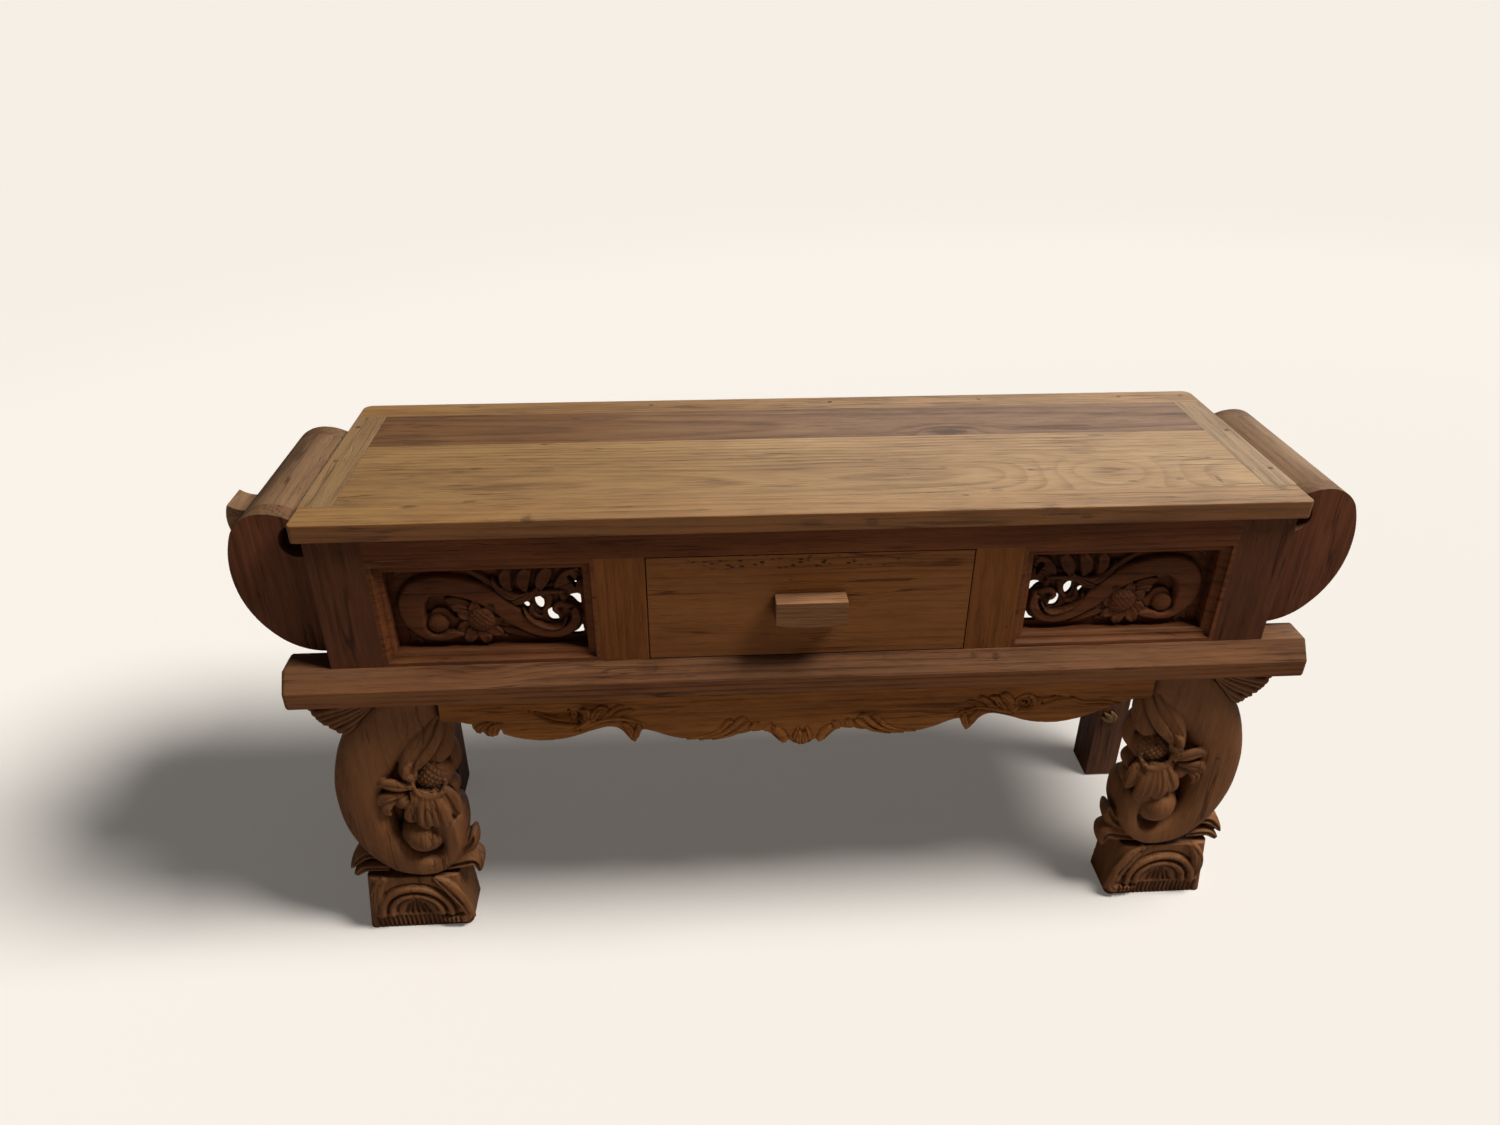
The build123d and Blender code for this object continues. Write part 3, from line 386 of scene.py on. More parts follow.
def makeWood(name, changes):
    look = {**plainLook, **changes}
    material = bpy.data.materials.new(name)
    material.use_nodes = True
    tree = material.node_tree
    place = out(tree, "ShaderNodeTexCoord", "Object")
    turn, heart = grainTurn[look["grain"]], look["heart"]
    turned = out(tree, "ShaderNodeMapping", 0, {"Vector": place, "Rotation": turn, "Location": heart})
    light, middle, dark, stainAndShade, rubbedAndHighlit, topLightTint = (
        (*colour, 1) for colour in (*look["tones"], look["stainAndShade"], look["rubbedAndHighlit"], look["topLightTint"]))
    figure = effect(tree, "figure", {
        "Vector": turned, "Ring Spacing": look["ring"], "Waviness": look["wave"],
        "Ring Contrast": look["rings"], "Streaks": look["streaks"], "Patches": look["patches"],
        "Lines": look["lines"], "Light": light, "Middle": middle, "Dark": dark,
        "Knot": Euler(turn).to_matrix() @ Vector(look["knot"]) + Vector(heart),
        "Knot Size": look["knotSize"], "Knot Dark": look["knotDark"]})
    edges = effect(tree, "edges", {"Width": look["edge"], "Amount": look["wearAndHighlight"], "Vector": turned})
    cornerShade = effect(tree, "cornerShade", {"Distance": look["cornerShadeReach"], "Amount": look["cornerShade"]})["PaintedShade"]
    topLight = effect(tree, "topLight", {"Vector": turned, "Amount": look["topLight"]})["TopLight"]
    flaws = makeFlaws(tree, look, place, turned)
    # edges are painted in the rubbed colour: partly real wear, partly a painted highlight along the arrises
    colour = blended(edges["WearAndHighlight"], figure["Color"], rubbedAndHighlit)
    # upward faces are painted lighter and paler: painted light
    colour = blended(topLight, colour, topLightTint, "MULTIPLY")
    # hollows and corners get painted shade in the dark stain colour, and real flaws darken to the same colour
    colour = blended(flaws, blended(cornerShade, colour, stainAndShade), stainAndShade)
    rough = limits(figure["Tone"], 0.0, 1.0, look["rough"] + 0.1, look["rough"] - 0.08, smooth=False)
    height = figure["Height"] - flaws * 2.0
    bump = out(tree, "ShaderNodeBump", 0, {"Height": height, "Distance": look["relief"], "Strength": 1.0,
                                           "Normal": edges["Normal"]})
    shader = tree.nodes["Principled BSDF"]
    for key, flow in (("Base Color", colour), ("Roughness", rough), ("Normal", bump)):
        tree.links.new(flow.socket, shader.inputs[key])
    shader.inputs["Specular IOR Level"].default_value = look["gloss"]
    return material


def dress(material, *nodes):
    for name in nodes:
        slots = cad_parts[name].data.materials
        slots.clear()
        slots.append(material)


# marks on a face that looks up: across, back, half length, half width and darkness, in millimetres
def faceMarks(height, rows, deep=0.02):
    return [((x / 1000, y / 1000, height), (long / 1000, wide / 1000, deep), dark)
            for x, y, long, wide, dark in rows]


# marks on an edge that looks forward: across, up, half length, half height and darkness, in millimetres
def edgeMarks(front, rows, deep=0.0232):
    return [((x / 1000, front, z / 1000), (long / 1000, deep, tall / 1000), dark)
            for x, z, long, tall, dark in rows]


# tools for carving; sizes here are millimetres, as a carver would mark them, and become metres when a piece
# is made
def smoothPath(points, steps=8):
    spots = np.array(points, float)
    spots = np.vstack((2 * spots[0] - spots[1], spots, 2 * spots[-1] - spots[-2]))
    share = np.linspace(0, 1, steps, endpoint=False)[:, None]
    rows = []
    for first, second, third, fourth in zip(spots, spots[1:], spots[2:], spots[3:]):
        rows.append(0.5 * (2 * second + (third - first) * share
                           + (2 * first - 5 * second + 4 * third - fourth) * share ** 2
                           + (3 * second - first - 3 * third + fourth) * share ** 3))
    return np.vstack(rows + [spots[-2][None]])


def smoothLoop(points):
    return smoothPath(points + points[:1], 4)[:-1].tolist()


def turnSteps(count):
    return [2 * math.pi * step / count for step in range(count)]


def skin(form, rings):
    rows = [[form.verts.new(spot) for spot in ring] for ring in rings]
    count = len(rows[0])
    for first, second in zip(rows, rows[1:]):
        for corner in range(count):
            following = (corner + 1) % count
            form.faces.new((first[corner], first[following], second[following], second[corner]))
    form.faces.new(rows[0][::-1])
    form.faces.new(rows[-1])


# a leaf or petal along a path of x, y, z and half width, with flutes cut along its face
def addLeaf(form, path, thick, flutes=1, cut=0.45, around=20):
    line = smoothPath(path)
    rings = []
    for place in range(len(line)):
        before, after = line[max(place - 1, 0)], line[min(place + 1, len(line) - 1)]
        along = Vector(after[:3] - before[:3]).normalized()
        across = along.cross(Vector((0, -1, 0))).normalized()
        facing = across.cross(along).normalized()
        centre, half = Vector(line[place][:3]), max(line[place][3], 0.3)
        depth = thick * min(1.0, half / 8 + 0.25) / 2
        ring = []
        for angle in turnSteps(around):
            side, front = math.cos(angle), math.sin(angle)
            groove = 1.0
            if front > 0:
                groove = 1 - cut * (0.5 + 0.5 * math.cos(math.pi * flutes * side * 2)) * (1 - abs(side))
            ring.append(centre + across * (side * half) + facing * (front * depth * groove))
        rings.append(ring)
    skin(form, rings)


# a squared bar whose sections run between an outer and an inner point, as the trunk of a scroll does
def addTrunk(form, pairs, front, back, square=3.2, around=28):
    rings = []
    for row in smoothPath([(*outer, *inner) for outer, inner in pairs]):
        outer, inner = row[:2], row[2:]
        centre, reach = (outer + inner) / 2, (outer - inner) / 2
        ring = []
        for angle in turnSteps(around):
            side, deep = (math.copysign(abs(share) ** (2 / square), share)
                          for share in (math.cos(angle), math.sin(angle)))
            spot = centre + reach * side
            ring.append(Vector((spot[0], (front + back) / 2 + deep * (back - front) / 2, spot[1])))
        rings.append(ring)
    skin(form, rings)


def addSlab(form, outline, front, back):
    skin(form, [[Vector((x, y, z)) for x, z in outline] for y in (front, back)])


def addBall(form, centre, radius):
    turn = Matrix.Translation(centre) @ Matrix.Diagonal((radius, radius, radius, 1))
    bmesh.ops.create_uvsphere(form, u_segments=28, v_segments=18, radius=1, matrix=turn)


def archLine(middle, radius, start, end, squash=1.0):
    turns = [math.radians(start + (end - start) * step / 8) for step in range(9)]
    return [(middle[0] + radius * math.cos(turn), middle[1] + radius * squash * math.sin(turn))
            for turn in turns]


def settle(made):
    graph = bpy.context.evaluated_depsgraph_get()
    mesh = bpy.data.meshes.new_from_object(made.evaluated_get(graph))
    made.modifiers.clear()
    old = made.data
    made.data = mesh
    bpy.data.meshes.remove(old)


def lighten(made, keep):
    lighter = made.modifiers.new("lighter", "DECIMATE")
    lighter.ratio = keep
    settle(made)
    made.data.shade_smooth()


# the joined forms become one skin, softened as old carving is
def carve(name, form, cell, soften, keep, mirrored=False, detail=None):
    bmesh.ops.recalc_face_normals(form, faces=form.faces)
    mesh = bpy.data.meshes.new(name)
    form.to_mesh(mesh)
    form.free()
    mesh.transform(Matrix.Diagonal((-0.001 if mirrored else 0.001, 0.001, 0.001, 1)))
    if mirrored:
        mesh.flip_normals()
    made = bpy.data.objects.new(name, mesh)
    scene.collection.objects.link(made)
    joined = made.modifiers.new("joined", "REMESH")
    joined.mode = "VOXEL"
    joined.voxel_size = cell / 1000
    soft = made.modifiers.new("softened", "SMOOTH")
    soft.iterations = soften
    settle(made)
    if detail:
        detail(made.data)
    lighten(made, keep)
    return made


def finishPiece(made, material, slot, *nodes):
    made.data.materials.clear()
    made.data.materials.append(material)
    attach(made, "table")
    if nodes:
        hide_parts(*nodes)


# for each stretch of a line of across, up and half width: the grid's window near it, how far each cell there
# is from it, the cell's share along it, and the stretch's ends
def nearLine(grid, low, cell, line, spread, margin):
    for start, end in zip(line, line[1:]):
        room = max(start[2], end[2]) * spread + margin
        first = np.maximum((np.minimum(start, end)[:2] - low - room) / cell, 0).astype(int)
        last = np.maximum((np.maximum(start, end)[:2] - low + room) / cell, 0).astype(int) + 1
        window = (slice(first[0], last[0]), slice(first[1], last[1]))
        count = grid[window].shape
        if 0 in count:
            continue
        span = (end - start)[:2]
        rows = low[0] + np.arange(first[0], first[0] + count[0])[:, None] * cell - start[0]
        columns = low[1] + np.arange(first[1], first[1] + count[1])[None] * cell - start[1]
        share = np.clip((rows * span[0] + columns * span[1]) / max(span @ span, 1e-9), 0, 1)
        yield window, np.hypot(rows - share * span[0], columns - share * span[1]), share, start, end


def readSpots(mesh, kind="co"):
    spots = np.empty(len(mesh.vertices) * 3, np.float32)
    mesh.vertices.foreach_get(kind, spots)
    return spots.reshape(-1, 3)


def writeSpots(mesh, spots):
    mesh.vertices.foreach_set("co", spots.ravel())
    mesh.update()


# pushes the skin that faces the viewer back along gouge lines; a line is its points, half width and depth
def gouge(mesh, field, lines, turn, shift):
    low, size, cell = np.array(field["low"]), field["size"], field["cell"]
    depth = np.zeros([int(side / cell) + 2 for side in size])
    for points, half, deep in lines:
        line = np.array([(*spot, half) for spot in points], float)
        line = smoothPath(line, 5) if len(line) > 2 else line
        for window, away, *_ in nearLine(depth, low, cell, line, 3, 0):
            depth[window] = np.maximum(depth[window], deep * np.exp(-(away / half) ** 2))
    spots, normals = readSpots(mesh), readSpots(mesh, "normal")
    across = (spots[:, 0] * 1000 * turn - shift - low[0]) / cell
    up = (spots[:, 2] * 1000 - low[1]) / cell
    row = np.clip(across.round().astype(int), 0, depth.shape[0] - 1)
    column = np.clip(up.round().astype(int), 0, depth.shape[1] - 1)
    facing = np.clip(-normals[:, 1] * 1.6 - 0.3, 0, 1)
    spots[:, 1] += depth[row, column] * facing / 1000
    writeSpots(mesh, spots)


def hatchLines(middle, radius, spacing, turn):
    lines, way = [], Vector((math.cos(math.radians(turn)), math.sin(math.radians(turn))))
    side = Vector((-way.y, way.x))
    steps = int(radius / spacing)
    for step in range(-steps, steps + 1):
        half = math.sqrt(max(radius ** 2 - (step * spacing) ** 2, 0))
        foot = Vector(middle) + side * step * spacing
        lines.append([tuple(foot - way * half), tuple(foot + way * half)])
    return lines


# relief carving: strokes cut into a board, in millimetres across and up its face
# a stroke is its profile, its height, how far its edge drops below that, and its path with half widths
# later strokes lie over earlier ones
profiles = {
    "board": lambda reach: np.sqrt(1 - reach ** 6) * 0.94 + 0.06 * np.exp(-((reach - 0.8) / 0.1) ** 2),
    "round": lambda reach: np.sqrt(1 - reach ** 2.4),
    "leaf": lambda reach: np.sqrt(1 - reach ** 3) * (1 - 0.42 * np.exp(-(reach / 0.2) ** 2)),
    "scoop": lambda reach: reach ** 2,
    "hollow": lambda reach: (0.6 + 0.4 * reach ** 2) * np.sqrt(1 - reach ** 8),
}
# round a stroke runs a moat; at its two ends the stroke drops over a short length
strokeEdge = {"moat": 3, "moatDepth": 1.6, "thinnest": 0.4, "endLength": 4, "endShare": 0.45, "far": 9.0}


def paintStroke(height, cell, profile, lift, rise, path):
    best = np.full(height.shape, strokeEdge["far"])
    half, along, travelled = np.ones(height.shape), np.zeros(height.shape), 0.0
    line = smoothPath(path, 6)
    for window, away, share, start, end in nearLine(height, (0, 0), cell, line, 1, strokeEdge["moat"] + 1):
        length = float(np.hypot(*(end - start)[:2]))
        width = np.maximum(start[2] + share * (end[2] - start[2]), strokeEdge["thinnest"])
        reach = away / width
        nearer = reach < best[window]
        best[window][nearer] = reach[nearer]
        half[window][nearer] = width[nearer]
        along[window][nearer] = (travelled + share * length)[nearer]
        travelled += length
    inside = best < 1
    beyond = (best - 1) * half
    around = (beyond >= 0) & (beyond < strokeEdge["moat"]) & (best < strokeEdge["far"])
    height[around] -= strokeEdge["moatDepth"] * (1 - beyond[around] / strokeEdge["moat"])
    shape = profiles[profile](np.minimum(best[inside], 1))
    fromEnd = np.minimum(along[inside], travelled - along[inside])
    ends = np.minimum(1, fromEnd / strokeEdge["endLength"] + strokeEdge["endShare"])
    height[inside] = lift * (0.8 + 0.2 * ends) - np.minimum(rise, half[inside] * 1.1) * (1 - shape)


def insideOf(outline, across, up):
    found = np.zeros(across.shape, bool)
    for (a, b), (c, d) in zip(outline, outline[1:] + outline[:1]):
        if b != d:
            found ^= ((b > up) != (d > up)) & (across < (c - a) * (up - b) / (d - b) + a)
    return found


# a flower's round middle, cut both ways
def hatchDisc(height, across, up, lift, rise, spot, hatch, cut, sharp=0.16):
    away = np.hypot(across - spot[0], up - spot[1]) / spot[2]
    inside = away < 1
    middle = spot[0] + spot[1]
    first = np.abs(((across + up - middle) / hatch) % 1 - 0.5)
    second = np.abs(((across - up) / hatch) % 1 - 0.5)
    cuts = np.exp(-(np.minimum(0.5 - first, 0.5 - second) / sharp) ** 2) * cut
    height[inside] = lift - rise * (1 - np.sqrt(1 - away[inside] ** 2)) - cuts[inside]


# the heights of a carved face, which of its cells are wood, and where they lie
def paintBoard(board, strokes, holes=(), outline=None):
    cell = board["cell"]
    rows, columns = (int(round(side / cell)) + 1 for side in board["size"])
    across, up = np.meshgrid(np.arange(rows) * cell, np.arange(columns) * cell, indexing="ij")
    waves = np.sin(across / 5.1 + 1.7 * np.sin(up / 7.3)) * np.sin(up / 4.3 + 1.3 * np.sin(across / 9.1))
    height = board["ground"] + board["uneven"] * waves
    for profile, lift, rise, path in strokes:
        if profile == "hatched":
            hatchDisc(height, across, up, lift, rise, path[0], *board["hatch"])
        else:
            paintStroke(height, cell, profile, lift, rise, path)
    solid = np.ones(height.shape, bool) if outline is None else insideOf(outline, across, up)
    for hole in holes:
        solid &= ~insideOf(smoothLoop(hole), across, up)
    soft = np.pad(height, 1, mode="edge")
    height = 0.5 * height + 0.125 * (soft[2:, 1:-1] + soft[:-2, 1:-1] + soft[1:-1, 2:] + soft[1:-1, :-2])
    return height, solid, across, up


# a closed board whose face follows the heights; across it, x runs from the start in the given way
def reliefMesh(name, board, painted, start, way, pinned=True, smoothings=6, crease=48):
    height, solid, across, up = painted
    index = np.arange(height.size).reshape(height.shape)
    corners = [(slice(None, -1), slice(None, -1)), (slice(1, None), slice(None, -1)),
               (slice(1, None), slice(1, None)), (slice(None, -1), slice(1, None))]
    quads = np.logical_and.reduce([solid[corner] for corner in corners])
    ring = np.stack([index[corner][quads] for corner in corners], 1)
    ways = np.concatenate([ring[:, (0, 1)], ring[:, (1, 2)], ring[:, (2, 3)], ring[:, (3, 0)]])
    keys = np.sort(ways, 1) @ np.array([height.size, 1])
    first, counts = np.unique(keys, return_index=True, return_counts=True)[1:]
    rim = ways[first[counts == 1]]
    flat = np.stack([across.ravel(), up.ravel()], 1)
    fixed = np.zeros(height.shape, bool)
    if pinned:
        fixed[[0, -1]] = fixed[:, [0, -1]] = True
    for turn in range(smoothings):
        total, near = np.zeros_like(flat), np.zeros(len(flat))
        for one, other in (rim.T, rim.T[::-1]):
            np.add.at(total, one, flat[other])
            np.add.at(near, one, 1)
        moving = (near > 0) & ~fixed.ravel()
        flat[moving] = 0.5 * flat[moving] + 0.5 * total[moving] / near[moving, None]
    faces = np.concatenate([ring, ring[:, ::-1] + height.size,
                            np.column_stack([rim[:, ::-1], rim + height.size])])
    if way > 0:
        faces = faces[:, ::-1]
    spots = np.vstack([np.column_stack([flat, deep]) for deep in (height.ravel(), np.zeros(height.size))])
    used, compact = np.unique(faces, return_inverse=True)
    x, z, deep = spots[used].T
    spots = np.array((start + way * x, board["back"] - deep, board["low"] + z)).T / 1000
    mesh = bpy.data.meshes.new(name)
    mesh.from_pydata(spots.tolist(), [], compact.reshape(faces.shape).tolist())
    mesh.update()
    made = bpy.data.objects.new(name, mesh)
    scene.collection.objects.link(made)
    lighten(made, board["keep"])
    made.data.set_sharp_from_angle(angle=math.radians(crease))
    return made


# carved panels, measured across from the table's end and up from the beam
panel = {
    "outer": 611.5, "low": 548.0, "back": -154.5, "size": (309.0, 171.0), "cell": 0.85, "ground": 8.0,
    "uneven": 0.35, "rim": (17.0, 22.0), "highest": 21.8, "eyeFloor": 1.2, "hatch": (8.5, 1.7), "keep": 0.3,
    # leaves and stems behind, the scroll's stem, the flower's petals, middle and bead, and leaves in corners
    "strokes": [
        ("leaf", 13, 4, [(224, 109, 1.3), (238, 112, 5.5), (252, 114, 6.4), (264, 117, 5), (275, 124, 2)]),
        ("leaf", 14, 4, [(258, 106, 2), (266, 117, 5), (276, 131, 2)]),
        ("round", 14, 6, [(233, 107, 2.5), (239, 97, 5.6), (237, 83, 5), (229, 70, 3)]),
        ("round", 13, 5, [(254, 106, 2.5), (259, 95, 5), (258, 84, 4), (250, 76, 3)]),
        ("leaf", 13, 4, [(214, 84, 2), (211, 72, 4.2), (217, 63, 3.5), (226, 62, 2)]),
        ("leaf", 15, 5, [(202, 97, 2.5), (184, 104, 6.5), (164, 118, 6.5), (146, 133, 5), (128, 146, 2)]),
        ("hollow", 18, 6, [(250, 110, 3), (260, 122, 9), (270, 132, 10), (281, 140, 5)]),
        ("leaf", 17, 5, [(256, 110, 2), (270, 114, 6), (286, 121, 4)]),
        ("hollow", 20, 7, [(226, 109, 3), (231, 123, 9), (237, 135, 9.5), (244, 146, 5)]),
        ("hollow", 20, 7, [(208, 110, 3), (205, 123, 8.5), (208, 135, 9.5), (214, 146, 5)]),
        ("hollow", 19, 7, [(186, 110, 3), (181, 122, 7.5), (181, 134, 8.5), (186, 146, 4)]),
        ("leaf", 20, 6, [(163, 131, 2), (170, 114, 5.5), (184, 102, 7), (200, 98, 7), (217, 103, 6),
            (240, 107, 3.5), (262, 107, 2)]),
        ("leaf", 18, 6, [(175, 86, 1.5), (189, 89, 5), (204, 95, 6), (217, 104, 4.5), (225, 113, 2)]),
        ("leaf", 12, 4, [(150, 76, 1.5), (165, 62, 6), (178, 52, 6), (190, 44, 2.5)]),
        ("leaf", 13, 4, [(158, 56, 1.5), (172, 46, 6), (176, 36, 4)]),
        ("leaf", 14, 4, [(162, 46, 2), (182, 40, 6), (202, 32, 5), (214, 27, 2)]),
        ("leaf", 13, 4, [(154, 50, 1.5), (163, 36, 5), (174, 30, 2.5)]),
        ("board", 19, 10, [(118, 43, 4), (100, 38, 5.8), (80, 36, 8), (60, 43, 11.5), (46, 65, 16.6),
            (45, 92, 19.7), (59, 114, 18.8), (85, 121, 17), (117, 117, 17.5), (146, 105, 17.5),
            (170, 84, 16.1), (192, 62, 13.9), (214, 45, 11), (238, 36, 8), (260, 40, 8), (274, 56, 7.6),
            (275, 73, 6.5), (263, 82, 5)]),
        ("round", 20.5, 2, [(202, 80, 1.2), (207, 66, 1.8), (218, 54, 2), (238, 45, 2), (254, 48, 1.8),
            (262, 60, 1.4)]),
        ("round", 17, 5, [(268, 80, 5), (254, 84, 4.5), (246, 76, 4), (252, 68, 3)]),
        ("leaf", 15, 5, [(134, 82, 2), (116, 92, 6.5), (100, 94, 7), (86, 87, 2.5)]),
        ("leaf", 16, 5, [(130, 76, 2), (112, 82, 6.5), (99, 80, 5.5), (103, 70, 2)]),
        ("hollow", 17, 6, [(138, 57, 5), (150, 74, 9), (156, 86, 4)]),
        ("hollow", 18, 6, [(138, 57, 5), (134, 78, 10), (133, 91, 4)]),
        ("hollow", 17, 6, [(138, 57, 5), (120, 69, 9.5), (110, 74, 4)]),
        ("hollow", 17, 6, [(138, 57, 5), (119, 51, 9.5), (107, 47, 4)]),
        ("hollow", 19, 6, [(138, 57, 5), (124, 38, 10), (118, 27, 4)]),
        ("hollow", 19, 6, [(138, 57, 5), (143, 36, 10), (145, 25, 4)]),
        ("hollow", 18, 6, [(138, 57, 5), (156, 44, 9), (166, 38, 4)]),
        ("hollow", 17, 6, [(138, 57, 5), (157, 59, 8.5), (168, 61, 3.5)]),
        ("round", 20, 5, [(139, 62, 19), (143, 63, 19)]),
        ("hatched", 21.8, 7, [(141, 62.5, 19.5)]),
        ("round", 19, 9, [(76, 54, 15), (78, 54, 15)]),
        ("leaf", 11, 3, [(34, 22, 1.5), (40, 34, 5), (34, 44, 2)]),
        ("leaf", 11, 3, [(52, 20, 1.5), (46, 30, 4), (36, 33, 2)]),
        ("leaf", 11, 3, [(26, 134, 1.5), (32, 142, 4), (44, 146, 1.5)]),
    ],
    # the scroll's eye, closed by a thin floor: a sheet put where there is only shade
    "eye": [
        (63, 80), (62, 72), (66, 68), (71, 75), (80, 80), (91, 78), (97, 70), (105, 62), (107, 68), (100, 84),
        (95, 94), (85, 99), (74, 96), (66, 89)],
    "holes": [
        [(218, 91), (224, 95), (231, 88), (229, 76), (225, 72), (219, 79)],
        [(236, 71), (243, 74), (247, 65), (250, 54), (244, 51), (237, 54), (234, 63)],
        [(265, 92), (273, 97), (283, 96), (283, 79), (279, 80), (272, 89)],
        [(283, 45), (283, 29), (266, 29), (277, 36)],
        [(200, 81), (207, 86), (210, 80), (206, 74)],
        [(278, 132), (272, 133), (268, 128), (273, 122), (278, 112), (280, 120)],
    ],
}


def makePanel(side, material):
    height, solid, across, up = paintBoard(panel, panel["strokes"], panel["holes"])
    width, tall = panel["size"]
    margin = np.minimum(np.minimum(across, width - across), np.minimum(up, tall - up))
    rim, thick = panel["rim"]
    # the eye gets a thin floor in place of a through hole, so it reads as a dark hole under painted shade
    height[insideOf(smoothLoop(panel["eye"]), across, up)] = panel["eyeFloor"]
    height = np.where(margin < rim, thick, np.minimum(height, panel["highest"]))
    way = 1 if side == "left_" else -1
    made = reliefMesh(side + "carving", panel, (height, solid, across, up), -way * panel["outer"], way)
    finishPiece(made, material, "teak_carving", side + "carved_panel")
    print(side + "panel is carved,", len(made.data.polygons), "faces")


